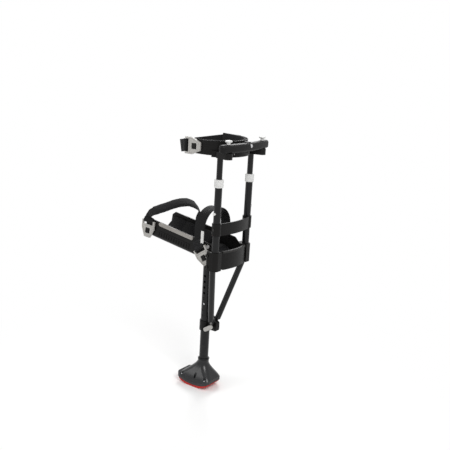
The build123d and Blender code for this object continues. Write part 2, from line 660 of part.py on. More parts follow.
def platform_side(lift, rear, rise):
    """Side view of the platform, with its floor lifted and its walls raised."""
    shift = lift * FLOOR_LEAN
    nose = CUP_NOSE_X + CLEAR
    return [tray_point(rear, lift), tray_line(BEND_X + shift, lift),
            (CUP_X + shift, PLATFORM_Z + lift), (nose, PLATFORM_Z + lift),
            (nose, CUP_TOP_Z + rise), (SIDE_DROP_X + SIDE_DROP_RUN, CUP_TOP_Z + rise),
            tray_line(SIDE_DROP_X, TRAY_HEIGHT + rise),
            tray_point(rear + TRAY_CORNER, TRAY_HEIGHT + rise),
            tray_point(rear, TRAY_HEIGHT + rise - TRAY_CORNER)]


def platform_plan(inset, z0, z1):
    """Plan of the platform, drawn in by inset: straight sides and a bowed front."""
    half = PLATFORM_HALF - inset
    side_x = CUP_SIDE_FRONT_X - inset
    rear = TRAY_REAR * 2
    sides = Polyline((side_x, half), (rear, half), (rear, -half), (side_x, -half))
    front = ThreePointArc((side_x, -half), (CUP_NOSE_X - inset, 0), (side_x, half))
    return extrude(Pos(0, 0, z0) * make_face(sides.edges() + front.edges()), amount=z1 - z0)


def platform_block(inset, lift, rear, rise, edge_r):
    """Side view and plan of the platform together, with its lower edges rounded."""
    half = PLATFORM_HALF - inset
    block = extrude_y(platform_side(lift, rear, rise), -half, half)
    block &= platform_plan(inset, 0, 2 * PLATFORM_Z)
    low = [edge for edge in block.edges() if is_low_edge(edge, half)]
    return fillet(low, edge_r)


def is_low_edge(edge, half):
    """The floor's edges along both sides."""
    middle = edge @ 0.5
    below = middle.Z < tray_line(middle.X, TRAY_HEIGHT / 2)[1]
    return below and abs((edge % 0.5).Z) < STEEP and abs(abs(middle.Y) - half) < NEAR


def make_platform():
    inner_r = PLATFORM_EDGE_R - PLATFORM_WALL
    platform = platform_block(0, 0, TRAY_REAR, 0, PLATFORM_EDGE_R)
    platform -= platform_block(PLATFORM_WALL, PLATFORM_FLOOR, TRAY_REAR - CLEAR, CLEAR, inner_r)
    platform += make_ribs(OUTER) + make_ribs(INNER)
    for x, y in HEAD_SCREWS:
        platform -= TRAY_FRAME * post(HEAD_SCREW_R + SLIDE_FIT, -PAST, PLATFORM_FLOOR / 2, x, y)
    hole_end, wall_out = PLATFORM_HALF - PLATFORM_WALL + SOFT_GAP, PLATFORM_HALF
    for side in (OUTER, INNER):
        for rise in BLOCK_BOLT_RISES:
            platform -= rod(BLOCK_BOLT_R + SLIDE_FIT, side * hole_end, side * wall_out,
                            BLOCK_BOLT_X, PLATFORM_Z + rise)
        platform -= rod(SIDE_SCREW_STEM_R + SLIDE_FIT, side * hole_end, side * wall_out,
                        SIDE_SCREW_X, SIDE_SCREW_Z)
    for x, z in anchor_pins():
        platform -= rod(ANCHOR_PIN_R + SLIDE_FIT, hole_end, wall_out, x, z)
    return platform


def make_ribs(side):
    """A ledge along the tray's side, over a row of short ribs."""
    near = side * (PLATFORM_HALF - PLATFORM_WALL / 2)
    far = side * (PLATFORM_HALF + RIB_PROUD)
    front = RIB_REAR + RIB_PITCH * (RIB_COUNT - 1) + RIB_SIZE
    comb = slab(RIB_REAR, front, near, far, RIB_TOP, RIB_TOP + RIB_SIZE)
    for step in range(RIB_COUNT):
        x = RIB_REAR + step * RIB_PITCH
        comb += slab(x, x + RIB_SIZE, near, far, PLATFORM_EDGE_R, RIB_TOP)
    return TRAY_FRAME * comb


def make_trim(side):
    """A pale strip along the tray wall's upper edge."""
    strip = slab(TRIM_REAR, TRIM_FRONT, side * PLATFORM_HALF,
                 side * (PLATFORM_HALF + TRIM_THICKNESS), TRAY_HEIGHT - TRIM_HEIGHT, TRAY_HEIGHT)
    return TRAY_FRAME * fillet(strip.edges().filter_by(Axis.Y), TRIM_CORNER_R)


def make_cup_edging():
    """A soft edging on top of the cup's front wall."""
    low, high = CUP_TOP_Z - CUP_EDGE_GRIP, CUP_TOP_Z + CUP_EDGE
    edging = platform_plan(-CUP_EDGE, low, high) - platform_plan(PLATFORM_WALL + CUP_EDGE, low, high)
    edging &= slab(CUP_X, 2 * CUP_NOSE_X, -CUP_EDGE_HALF, CUP_EDGE_HALF, low, high)
    wall = platform_plan(0, low, CUP_TOP_Z) - platform_plan(PLATFORM_WALL, low, CUP_TOP_Z)
    return edging - wall


def platform_lining(margin):
    """The space inside the platform, less a margin to its floor and walls."""
    inset = PLATFORM_WALL + margin
    return platform_block(inset, PLATFORM_FLOOR + margin, TRAY_REAR, 0, PLATFORM_EDGE_R - inset)


def make_shin_pad():
    """A trough-shaped liner, sewn across into swelling panels."""
    pad = TRAY_FRAME * slab(SHIN_PAD_REAR, SHIN_PAD_FRONT, -PLATFORM_HALF, PLATFORM_HALF,
                            0, SHIN_PAD_TOP)
    pad &= platform_lining(SOFT_GAP)
    length = (SHIN_PAD_FRONT - SHIN_PAD_REAR) / SHIN_PANELS
    seam_r = SHIN_TROUGH_R + SHIN_SEAM_DEPTH
    half = length / 2
    outline = Polyline((half, seam_r), (half, 0), (-half, 0), (-half, seam_r))
    swell = ThreePointArc((-half, seam_r), (0, SHIN_TROUGH_R), (half, seam_r))
    trough = revolve(Plane.XZ * make_face(outline.edges() + swell.edges()), Axis.X)
    for panel in range(SHIN_PANELS):
        middle = SHIN_PAD_REAR + length * (panel + 0.5)
        pad -= TRAY_FRAME * Pos(middle, 0, SHIN_TROUGH_Z) * trough
    return pad


def make_knee_pad():
    """A cushion that follows the cup's floor, low under the kneecap and higher before and behind."""
    tops = [(x, PLATFORM_Z + rise) for x, rise in KNEE_PAD_TOPS]
    rear_top = (KNEE_PAD_REAR, tops[0][1])
    below = Polyline(tops[-1], (KNEE_PAD_FRONT, 0), (KNEE_PAD_REAR, 0), rear_top, tops[0])
    face = Plane.XZ * make_face(below.edges() + Spline(*tops).edges())
    return extrude(face, PLATFORM_HALF, both=True) & platform_lining(SOFT_GAP)


def make_side_screw(side):
    """A round-headed screw low in the platform's side."""
    wall = side * PLATFORM_HALF
    head = rod(SIDE_SCREW_R, wall, wall + side * SIDE_SCREW_HEAD, SIDE_SCREW_X, SIDE_SCREW_Z)
    head = chamfer(head.edges().filter_by(GeomType.CIRCLE), EDGE_BEVEL)
    inner = side * (PLATFORM_HALF - PLATFORM_WALL + SOFT_GAP)
    return head + rod(SIDE_SCREW_STEM_R, inner, wall, SIDE_SCREW_X, SIDE_SCREW_Z)


# Corner blocks, posts and crossbar

def make_corner_block(side):
    """The block beside the cup that takes a post from above and a strut from below."""
    block = slab(BLOCK_X0, BLOCK_X1, side * PLATFORM_HALF, side * BLOCK_Y1,
                 PLATFORM_Z, PLATFORM_Z + BLOCK_HEIGHT)
    outer = block.edges().filter_by(Axis.Z).sort_by(lambda edge: -abs((edge @ 0.5).Y))[:2]
    rear, front = outer.sort_by(Axis.X)
    block = fillet(rear, BLOCK_CORNER_R)
    front = block.edges().filter_by(Axis.Z).sort_by(lambda edge: -(edge @ 0.5).X - abs((edge @ 0.5).Y))[0]
    block = fillet(front, BLOCK_FRONT_R)
    block = chamfer(block.edges().group_by(Axis.Z)[-1], EDGE_BEVEL)
    block -= post(POST_R + SEAT_GAP, POST_BOTTOM_Z, POST_TOP_Z, POST_X, side * POST_Y)
    block -= strut_bar(side, STRUT_R + SEAT_GAP, 0, STRUT_SEAT)
    for rise in BLOCK_BOLT_RISES:
        block -= rod(BLOCK_BOLT_R + SLIDE_FIT, 0, side * BLOCK_Y1, BLOCK_BOLT_X, PLATFORM_Z + rise)
    return block


def make_block_bolts():
    bolts = []
    for side in (OUTER, INNER):
        face = side * BLOCK_Y1
        inner = side * (PLATFORM_HALF - PLATFORM_WALL + SOFT_GAP)
        for rise in BLOCK_BOLT_RISES:
            z = PLATFORM_Z + rise
            bolt = rod(BLOCK_BOLT_R, inner, face, BLOCK_BOLT_X, z)
            bolt += rod(BOLT_CAP_R, face, face + side * BOLT_CAP, BLOCK_BOLT_X, z)
            socket = hexagon(CLAMP_SCREW_R, face + side * BOLT_CAP / 2, face + side * BOLT_CAP,
                             BLOCK_BOLT_X, z)
            bolts.append(bolt - socket)
    return bolts


def make_post_lower(side):
    y = side * POST_Y
    tube = post(POST_R, POST_BOTTOM_Z, POST_TOP_Z, POST_X, y)
    bead_z = TWIST_Z + BEAD_RISE
    tube += post(POST_R + BEAD, bead_z, bead_z + BEAD_WIDTH, POST_X, y)
    tube -= post(POST_R - POST_WALL, POST_BOTTOM_Z, POST_TOP_Z, POST_X, y)
    return tube - rod(POST_BUTTON_STEM_R + SLIDE_FIT, y, y + side * 2 * POST_R, POST_X, POST_BUTTON_Z)


def make_twist_collar(side):
    """A grip ring on a post's top: its lip guides the thin post, a groove rides on the bead."""
    y = side * POST_Y
    top_z = TWIST_Z + TWIST_COLLAR_HEIGHT
    radius = POST_R + TWIST_COLLAR_WALL
    collar = post(radius, TWIST_Z, top_z, POST_X, y)
    collar = chamfer(collar.edges().filter_by(GeomType.CIRCLE), TWIST_COLLAR_BEVEL)
    collar -= post(POST_R + SLIDE_FIT, TWIST_Z, top_z - TWIST_COLLAR_LIP, POST_X, y)
    groove_z = TWIST_Z + BEAD_RISE - SOFT_GAP
    collar -= post(POST_R + BEAD + SLIDE_FIT, groove_z, groove_z + BEAD_WIDTH + 2 * SOFT_GAP, POST_X, y)
    collar -= post(THIN_POST_R + SLIDE_FIT, TWIST_Z, top_z, POST_X, y)
    for step in range(TWIST_COLLAR_FLUTES):
        turn = Pos(POST_X, y, 0) * Rot(0, 0, 360 * step / TWIST_COLLAR_FLUTES)
        collar -= turn * post(FLUTE_R, TWIST_Z, top_z, radius + FLUTE_R / 2, 0)
    return collar


def make_post_button(side):
    """A round button whose stem goes in through the post's wall."""
    y = side * POST_Y
    head_y = y + side * (POST_R + SOFT_GAP / 2 + POST_BUTTON_TRAVEL)
    stem_y = y + side * (THIN_POST_R + SOFT_GAP)
    head = rod(POST_BUTTON_HEAD_R, head_y, head_y + side * POST_BUTTON_HEAD, POST_X, POST_BUTTON_Z)
    head = chamfer(head.edges().filter_by(GeomType.CIRCLE), POST_BUTTON_BEVEL)
    return head + rod(POST_BUTTON_STEM_R, stem_y, head_y, POST_X, POST_BUTTON_Z)


def make_crossbar():
    """Two sleeves on the posts, joined by a bowed plate."""
    low = PLATFORM_Z + CROSSBAR_RISE - CROSSBAR_HEIGHT / 2
    high = low + CROSSBAR_HEIGHT
    plan = bowed_plate(CROSSBAR_END_X, CROSSBAR_NOSE_X)
    plan -= bowed_plate(CROSSBAR_END_X - CROSSBAR_WALL, CROSSBAR_NOSE_X - CROSSBAR_WALL)
    bar = extrude(Pos(0, 0, low) * plan, CROSSBAR_HEIGHT) & slab(
        POST_X, 2 * POST_X, -POST_Y, POST_Y, low, high)
    for side in (OUTER, INNER):
        bar += post(POST_R + SLEEVE_WALL, low, high, POST_X, side * POST_Y)
    for side in (OUTER, INNER):
        y = side * POST_Y
        bar -= post(POST_R + SEAT_GAP, low, high, POST_X, y)
        bar -= rod(CROSSBAR_SCREW_R + SLIDE_FIT, y, y + side * 2 * POST_R, POST_X,
                   PLATFORM_Z + CROSSBAR_RISE)
    return bar


def bowed_plate(end_x, nose_x):
    """The plan in front of the leg tube's axis, behind an arc over both posts."""
    half = POST_Y + PAST
    rear = Polyline((end_x, half), (0, half), (0, -half), (end_x, -half))
    return make_face(rear.edges() + ThreePointArc((end_x, -half), (nose_x, 0), (end_x, half)).edges())


def make_crossbar_screws():
    screws = []
    z = PLATFORM_Z + CROSSBAR_RISE
    for side in (OUTER, INNER):
        seat = side * (POST_Y + POST_R + SLEEVE_WALL)
        cap = rod(CROSSBAR_SCREW_CAP_R, seat, seat + side * CROSSBAR_SCREW_CAP, POST_X, z)
        cap = chamfer(cap.edges().filter_by(GeomType.CIRCLE), CROSSBAR_SCREW_BEVEL)
        screws.append(cap + rod(CROSSBAR_SCREW_R, side * (POST_Y + POST_R + SEAT_GAP), seat, POST_X, z))
    return screws


# Thigh frame

def make_post_upper(side):
    y = side * POST_Y
    tube = post(THIN_POST_R, THIN_BOTTOM_Z, THIN_TOP_Z, POST_X, y)
    tube -= post(THIN_POST_R - THIN_POST_WALL, THIN_BOTTOM_Z, THIN_TOP_Z, POST_X, y)
    for z in POST_HOLE_ZS:
        tube -= rod(POST_HOLE_R, y, y + side * 2 * THIN_POST_R, POST_X, z)
    return tube


def make_post_bushes():
    bushes = []
    for side in (OUTER, INNER):
        y = side * POST_Y
        bush = post(POST_R - POST_WALL - SLIDE_FIT, THIN_BOTTOM_Z, THIN_BOTTOM_Z + BUSH_LENGTH, POST_X, y)
        bushes.append(bush - post(THIN_POST_R, THIN_BOTTOM_Z, THIN_BOTTOM_Z + BUSH_LENGTH, POST_X, y))
    return bushes


def oval(margin, z0, z1):
    """The oval of the band's outer face, widened by margin, as a solid."""
    face = Ellipse(BAND_FRONT + margin, BAND_HALF + margin)
    return extrude(Pos(BAND_X, 0, z0) * face, z1 - z0)


def band_plan(margin, rear, z0, z1):
    """Half of that oval in front, with straight sides back to rear."""
    half = BAND_HALF + margin
    front = oval(margin, z0, z1) & slab(BAND_X, 2 * BAND_FRONT, -half, half, z0, z1)
    return front + slab(rear, BAND_X, -half, half, z0, z1)


def arm(x0, y0, x1, y1, radius, z0, z1):
    """A bar with round ends between two points of the plan."""
    turn = degrees(atan2(y1 - y0, x1 - x0))
    face = SlotCenterToCenter(hypot(x1 - x0, y1 - y0), 2 * radius)
    return extrude(Pos((x0 + x1) / 2, (y0 + y1) / 2, z0) * Rot(0, 0, turn) * face, z1 - z0)


def rivet_line(y):
    """Where a rivet at y starts in the band's wall, and the yoke's face that its head lies on."""
    share = sqrt(1 - (y / BAND_HALF) ** 2)
    return BAND_X + (BAND_FRONT - BAND_WALL / 2) * share, BAND_X + (BAND_FRONT + YOKE_WALL) * share


def rivet(radius, x0, x1, y):
    return Pos(x0, y, YOKE_Z + YOKE_HEIGHT / 2) * Rot(0, 90, 0) * post(radius, 0, x1 - x0)


def make_yoke():
    """The ring segment round the band's front, with two arms for the posts and the grip's studs."""
    yoke = oval(YOKE_WALL + SEAT_GAP, YOKE_Z, GRIP_Z)
    yoke &= slab(YOKE_REAR_X, 2 * BAND_HALF, -2 * BAND_HALF, 2 * BAND_HALF, YOKE_Z, GRIP_Z)
    for side in (OUTER, INNER):
        yoke += arm(POST_X, side * POST_Y, STUD_X, side * STUD_Y, YOKE_BOSS_R, YOKE_Z, GRIP_Z)
    yoke -= band_plan(SEAT_GAP, BAND_REAR_X, YOKE_Z, GRIP_Z)
    for side in (OUTER, INNER):
        yoke -= post(THIN_POST_R + SEAT_GAP, YOKE_Z, GRIP_Z, POST_X, side * POST_Y)
        yoke -= post(STUD_R + SLIDE_FIT, YOKE_Z, GRIP_Z, STUD_X, side * STUD_Y)
        start, face = rivet_line(RIVET_Y)
        yoke -= rivet(RIVET_R + SLIDE_FIT, start, face + YOKE_WALL, side * RIVET_Y)
    return yoke


def make_rivets():
    rivets = []
    for side in (OUTER, INNER):
        start, face = rivet_line(RIVET_Y)
        pin = rivet(RIVET_R, start, face + RIVET_HEAD, side * RIVET_Y)
        rivets.append(pin)
    return rivets


def make_thigh_band():
    low, high = BAND_Z - BAND_HEIGHT / 2, BAND_Z + BAND_HEIGHT / 2
    band = band_plan(0, BAND_REAR_X, low, high)
    band -= band_plan(-BAND_WALL, BAND_REAR_X, low, high)
    band = fillet(band.edges().filter_by(Axis.Y).group_by(Axis.X)[0], BAND_CORNER_R)
    start, face = rivet_line(RIVET_Y)
    for side in (OUTER, INNER):
        band -= rivet(RIVET_R + SLIDE_FIT, start, face, side * RIVET_Y)
    return band


def make_thigh_pad():
    """The band's soft lining, which rolls out over both of its edges."""
    low, high = BAND_Z - BAND_HEIGHT / 2 - PAD_PROUD, BAND_Z + BAND_HEIGHT / 2 + PAD_PROUD
    margin = -BAND_WALL - SOFT_GAP
    pad = band_plan(margin, PAD_REAR_X, low, high)
    pad -= band_plan(margin - BAND_PAD, PAD_REAR_X, low, high)
    rims = pad.edges().group_by(Axis.Z)
    return fillet(rims[0] + rims[-1], PAD_ROLL_R)


def grip_point(turn, radius):
    """A point of the grip's plan, by its turn about the grip's centre and its distance from it."""
    return GRIP_NOSE_X - GRIP_R + radius * cos(turn), radius * sin(turn)


def make_grip():
    """A bowed, round-edged handle across the front."""
    turn = atan2(GRIP_END_Y, GRIP_END_X - GRIP_NOSE_X + GRIP_R)
    half = GRIP_DEPTH / 2
    cap_turn = turn + half / GRIP_R
    far, near = GRIP_R + half, GRIP_R - half
    edges = ThreePointArc(grip_point(-turn, far), grip_point(0, far), grip_point(turn, far)).edges()
    edges += ThreePointArc(grip_point(turn, far), grip_point(cap_turn, GRIP_R),
                           grip_point(turn, near)).edges()
    edges += ThreePointArc(grip_point(turn, near), grip_point(0, near),
                           grip_point(-turn, near)).edges()
    edges += ThreePointArc(grip_point(-turn, near), grip_point(-cap_turn, GRIP_R),
                           grip_point(-turn, far)).edges()
    grip = extrude(Pos(0, 0, GRIP_Z) * make_face(edges), GRIP_HEIGHT)
    grip = fillet(grip.edges().filter_by(Plane.XY), GRIP_EDGE_R)
    top = GRIP_Z + GRIP_HEIGHT
    grip += slab(GRIP_NOSE_X - GRIP_TAB_HALF, GRIP_NOSE_X + GRIP_TAB_HALF / 2,
                 -GRIP_TAB_HALF, GRIP_TAB_HALF, top - PAST, top + GRIP_TAB)
    for side in (OUTER, INNER):
        grip -= post(STUD_R + SLIDE_FIT, GRIP_Z, top, STUD_X, side * STUD_Y)
    return grip - grip_screw_shape(GRIP_SCREW_R, 0)


def grip_screw_shape(radius, ahead):
    """A bar along X from inside the grip to its front face and ahead of it."""
    front = GRIP_NOSE_X + GRIP_DEPTH / 2
    start = Pos(front - GRIP_SCREW_LENGTH, 0, GRIP_Z + GRIP_SCREW_RISE) * Rot(0, 90, 0)
    return start * post(radius, 0, GRIP_SCREW_LENGTH + ahead)


def make_grip_screw():
    cap = grip_screw_shape(GRIP_SCREW_CAP_R, GRIP_SCREW_CAP)
    cap &= slab(GRIP_NOSE_X + GRIP_DEPTH / 2, 2 * GRIP_NOSE_X, -GRIP_DEPTH, GRIP_DEPTH,
                GRIP_Z, GRIP_Z + GRIP_HEIGHT)
    return grip_screw_shape(GRIP_SCREW_R, 0) + cap


def make_thumb_knob(side):
    """A round-headed screw that clamps the grip to the yoke."""
    y = side * STUD_Y
    seat = GRIP_Z + GRIP_HEIGHT + SOFT_GAP
    head_z = seat + THUMB_STEM
    head = post(THUMB_HEAD_R, head_z, head_z + THUMB_HEAD, STUD_X, y)
    head = fillet(head.edges().filter_by(GeomType.CIRCLE), THUMB_EDGE_R)
    stem = post(THUMB_STEM_R, seat, head_z, STUD_X, y)
    return head + stem + post(STUD_R, YOKE_Z + STUD_LIFT, seat, STUD_X, y)


# Hook buckles

def xz_way(angle):
    return cos(radians(angle)), 0, sin(radians(angle))


THIGH_FRAME = Plane(origin=(THIGH_BUCKLE_X, -BAND_HALF - BAR_STANDOFF, BAND_Z),
                    x_dir=(1, 0, 0), z_dir=(0, -1, 0))
KNEE_FRAME = Plane(origin=(KNEE_BUCKLE_XZ[0], -PLATFORM_HALF - BAR_STANDOFF,
                           PLATFORM_Z + KNEE_BUCKLE_XZ[1]),
                   x_dir=xz_way(KNEE_BUCKLE_ANGLE), z_dir=(0, -1, 0))
ANKLE_FRAME = Plane(origin=(ANKLE_BUCKLE_XZ[0], -PLATFORM_HALF - BAR_STANDOFF,
                            PLATFORM_Z + ANKLE_BUCKLE_XZ[1]),
                    x_dir=xz_way(ANKLE_BUCKLE_ANGLE), z_dir=(0, -1, 0))


def make_buckle():
    """A flat hook: a bar for the webbing at the back, a window for the peg, a narrowed nose."""
    half = BUCKLE_THICKNESS / 2
    outline = Polyline((-BUCKLE_BACK, -BUCKLE_HALF), (BUCKLE_SHOULDER, -BUCKLE_HALF),
                       (BUCKLE_NOSE, -BUCKLE_NOSE_HALF), (BUCKLE_NOSE, BUCKLE_NOSE_HALF),
                       (BUCKLE_SHOULDER, BUCKLE_HALF), (-BUCKLE_BACK, BUCKLE_HALF), close=True)
    buckle = extrude(make_face(outline.edges()), half, both=True)
    fronts = buckle.edges().filter_by(Axis.Z).sort_by(Axis.X)[2:]
    buckle = fillet(fronts, BUCKLE_CORNER_R)
    buckle = chamfer(buckle.edges().group_by(Axis.Z)[-1], EDGE_BEVEL)
    buckle -= slab(-2 * BUCKLE_BACK, BUCKLE_SLOT, -BUCKLE_SLOT_HALF, BUCKLE_SLOT_HALF, -half, half)
    side, nose = BUCKLE_HALF - BUCKLE_RIM, BUCKLE_NOSE - BUCKLE_RIM
    recess = Polyline((BUCKLE_SLOT + BUCKLE_RIM, -side), (BUCKLE_SHOULDER - PAST, -side),
                      (nose, -BUCKLE_NOSE_HALF + BUCKLE_RIM / 2),
                      (nose, BUCKLE_NOSE_HALF - BUCKLE_RIM / 2), (BUCKLE_SHOULDER - PAST, side),
                      (BUCKLE_SLOT + BUCKLE_RIM, side), close=True)
    buckle -= Pos(0, 0, half - BUCKLE_RECESS) * extrude(make_face(recess.edges()), BUCKLE_RECESS)
    bar_end = BUCKLE_HALF - BUCKLE_BAR_INSET
    buckle += rod(BUCKLE_BAR_R, -bar_end, bar_end, 0, 0)
    return buckle - slab(WINDOW_U - WINDOW_HALF, WINDOW_U + WINDOW_HALF, -WINDOW_HALF, WINDOW_HALF,
                         -half, half)


def make_peg():
    """The peg that a buckle's window drops over, on its plate."""
    half = WINDOW_HALF - PEG_CLEARANCE
    plate = slab(WINDOW_U - WINDOW_HALF, WINDOW_U + WINDOW_HALF, -WINDOW_HALF, WINDOW_HALF,
                 -BAR_STANDOFF, PEG_BASE - BAR_STANDOFF)
    peg = slab(WINDOW_U - half, WINDOW_U + half, -half, half, PEG_BASE - BAR_STANDOFF, PEG_TOP)
    return plate + chamfer(peg.edges().group_by(Axis.Z)[-1], PEG_BEVEL)


# Webbing

def web_loop():
    """The loop of webbing round a buckle's bar, in the buckle's own frame."""
    half = WEB / 2
    return rod(LOOP_R + WEB_THICKNESS, -half, half, 0, 0) - rod(LOOP_R, -half, half, 0, 0)


def arch(span, rise, thickness, width):
    """Half of an oval band over the X axis, its width along Y."""
    plan = Ellipse(span, rise) - Ellipse(span - thickness, rise - thickness)
    return extrude(Plane.XZ * plan, width / 2, both=True) & slab(-span, span, -width, width, 0, rise)


def make_thigh_strap():
    """From the buckle's bar round the back of the thigh, through the anchor and folded back."""
    half = WEB / 2
    near = BAND_HALF + SOFT_GAP
    far = near + WEB_THICKNESS
    slope = Rot(0, -THIGH_STRAP_TILT, 0)
    turn = Pos(THIGH_BUCKLE_X, 0, BAND_Z) * slope * Rot(0, -90, 0) * Rot(0, 0, 90)
    strap = THIGH_FRAME * web_loop()
    strap += turn * arch(far, THIGH_STRAP_REAR, WEB_THICKNESS, WEB)
    overlap = half * tan(radians(THIGH_STRAP_TILT))
    strap += slab(THIGH_BUCKLE_X - overlap, THIGH_ANCHOR_X, near, far, BAND_Z - half, BAND_Z + half)
    bar_y = BAND_HALF + BAR_STANDOFF
    loop = post(LOOP_R + WEB_THICKNESS, BAND_Z - half, BAND_Z + half, THIGH_ANCHOR_X, bar_y)
    strap += loop - post(LOOP_R, BAND_Z - half, BAND_Z + half, THIGH_ANCHOR_X, bar_y)
    outside = bar_y + LOOP_R + WEB_THICKNESS
    end_x = THIGH_ANCHOR_X - THIGH_TAIL
    tail = Polyline((THIGH_ANCHOR_X, outside), (THIGH_ANCHOR_X, outside - WEB_THICKNESS),
                    (end_x, far + SOFT_GAP), (end_x, far + SOFT_GAP + WEB_THICKNESS), close=True)
    return strap + extrude(Pos(0, 0, BAND_Z - half) * make_face(tail.edges()), WEB)


def make_thigh_anchor():
    """A bar between two arms on the band's inner side, which the strap turns round."""
    bar_y = BAND_HALF + BAR_STANDOFF
    half = BAND_HEIGHT / 2
    x0, x1 = ANCHOR_BASE_X
    anchor = slab(x0, x1, BAND_HALF, BAND_HALF + ANCHOR_BASE, BAND_Z - half, BAND_Z + half)
    for low in (BAND_Z - half, BAND_Z + half - ANCHOR_ARM):
        anchor += slab(THIGH_ANCHOR_X - BUCKLE_BAR_R, x1, BAND_HALF, bar_y + BUCKLE_BAR_R,
                       low, low + ANCHOR_ARM)
    return anchor + post(BUCKLE_BAR_R, BAND_Z - half, BAND_Z + half, THIGH_ANCHOR_X, bar_y)


def anchor_pins():
    """Centres of the pins that hold the straps' inner ends to the platform's side."""
    for x, rise in ((KNEE_STRAP_X, KNEE_STRAP_END), (inner_ankle_x(), ANKLE_STRAP_END)):
        for spread in (-ANCHOR_PIN_SPREAD, ANCHOR_PIN_SPREAD):
            yield x + spread, PLATFORM_Z + rise + ANCHOR_PIN_INSET


def ankle_half_span():
    """Half the distance that the ankle strap's arch crosses, in its own skewed plane."""
    return (PLATFORM_HALF + SOFT_GAP + WEB_THICKNESS / 2 + TRIM_THICKNESS / 2) / cos(
        radians(ANKLE_STRAP_SKEW))


def ankle_middle_x():
    """The arch's middle, where its outer end stands over the flat part above the buckle's bar."""
    flat_x = ANKLE_FRAME.from_local_coords((-ANKLE_STRAP_FLAT, 0, 0)).X
    return flat_x + ankle_half_span() * sin(radians(ANKLE_STRAP_SKEW))


def inner_ankle_x():
    return ankle_middle_x() + ankle_half_span() * sin(radians(ANKLE_STRAP_SKEW))


def strap_holes(pins, y):
    """Holes for the anchor pins through the webbing at y."""
    holes = [rod(ANCHOR_PIN_R + SLIDE_FIT, y - WEB_THICKNESS, y + 2 * WEB_THICKNESS, x, z)
             for x, z in pins]
    return Compound(holes)


def make_knee_strap():
    """Over the knee: looped on the buckle's bar outside, pinned to the platform inside."""
    near, far = PLATFORM_HALF + SOFT_GAP, PLATFORM_HALF + SOFT_GAP + WEB_THICKNESS
    half = WEB / 2
    bar_ends = [KNEE_FRAME.from_local_coords((0, y, 0)) for y in (-half, half)]
    points = [(end.X, end.Z) for end in bar_ends]
    left, right = KNEE_STRAP_X - half, KNEE_STRAP_X + half
    full_z, spring_z = PLATFORM_Z + KNEE_STRAP_GUSSET, PLATFORM_Z + KNEE_STRAP_SPRING
    points += [(right, full_z), (right, spring_z), (left, spring_z), (left, full_z)]
    strap = KNEE_FRAME * web_loop() + extrude_y(points, -far, -near)
    rise = KNEE_STRAP_TOP - KNEE_STRAP_SPRING
    strap += Pos(KNEE_STRAP_X, 0, spring_z) * Rot(0, 0, 90) * arch(far, rise, WEB_THICKNESS, WEB)
    strap += slab(left, right, near, far, PLATFORM_Z + KNEE_STRAP_END, spring_z)
    return strap - strap_holes(list(anchor_pins())[:2], near)


def make_knee_tab():
    """A stiff pull tab on the knee strap's outer face."""
    y = -PLATFORM_HALF - 2 * SOFT_GAP - WEB_THICKNESS
    low, high = (PLATFORM_Z + rise for rise in KNEE_TAB_RISE)
    tab = slab(*KNEE_TAB_X, y - KNEE_TAB, y, low, high)
    return fillet(tab.edges().filter_by(Axis.Y), TAB_CORNER_R)


def ankle_place():
    """The skewed and leaning plane that the ankle strap's arch lies in."""
    turn = Rot(0, 0, 90 - ANKLE_STRAP_SKEW) * Rot(ANKLE_STRAP_LEAN, 0, 0)
    return Pos(ankle_middle_x(), TRIM_THICKNESS / 2, PLATFORM_Z + ANKLE_STRAP_SPRING) * turn


def ankle_band(thickness, width):
    """A band of even thickness along the ankle strap's arch, its width along Y."""
    mid = ankle_half_span()
    curve = Spline((-mid, 0), *((share * mid, rise) for share, rise in ANKLE_ARCH), (mid, 0))
    faces = []
    for side in (thickness / 2, -thickness / 2):
        points = []
        for step in range(BAND_STEPS + 1):
            place, way = curve @ (step / BAND_STEPS), curve % (step / BAND_STEPS)
            points.append((place.X - side * way.Y, place.Y + side * way.X))
        faces.append(points)
    over, under = faces
    edges = Spline(*over).edges() + Spline(*under).edges()
    edges += Line(over[0], under[0]).edges() + Line(over[-1], under[-1]).edges()
    return extrude(Plane.XZ * make_face(edges), width / 2, both=True)


def make_ankle_strap():
    """Askew over the shin: it twists on both sides from the wall's plane into the arch's."""
    half = WEB / 2
    mid = ankle_half_span()
    place = ankle_place()
    strap = ANKLE_FRAME * (web_loop() + slab(-ANKLE_STRAP_FLAT, 0, -half, half,
                                             -LOOP_R - WEB_THICKNESS, -LOOP_R))
    strap += place * ankle_band(WEB_THICKNESS, WEB)
    flat_top = Plane(origin=ANKLE_FRAME.from_local_coords(
        (-ANKLE_STRAP_FLAT, 0, -LOOP_R - WEB_THICKNESS / 2)), x_dir=ANKLE_FRAME.y_dir,
        z_dir=-ANKLE_FRAME.x_dir)
    section = Rectangle(WEB, WEB_THICKNESS)
    knuckle = rod(WEB_THICKNESS / 2, -half, half, 0, 0)
    for end in (-mid, mid):
        strap += place * Pos(end, 0, 0) * knuckle
    strap += loft([flat_top * section, place * Pos(-mid, 0, 0) * Rot(0, 0, -90) * section])
    end_y = PLATFORM_HALF + TRIM_THICKNESS + SOFT_GAP
    low_z = PLATFORM_Z + ANKLE_STRAP_LOW
    x = inner_ankle_x()
    lower = Pos(x, end_y + WEB_THICKNESS / 2, low_z) * section
    strap += loft([lower, place * Pos(mid, 0, 0) * Rot(0, 0, -90) * section])
    strap += slab(x - half, x + half, end_y, end_y + WEB_THICKNESS, PLATFORM_Z + ANKLE_STRAP_END, low_z)
    return strap - strap_holes(list(anchor_pins())[2:], end_y)


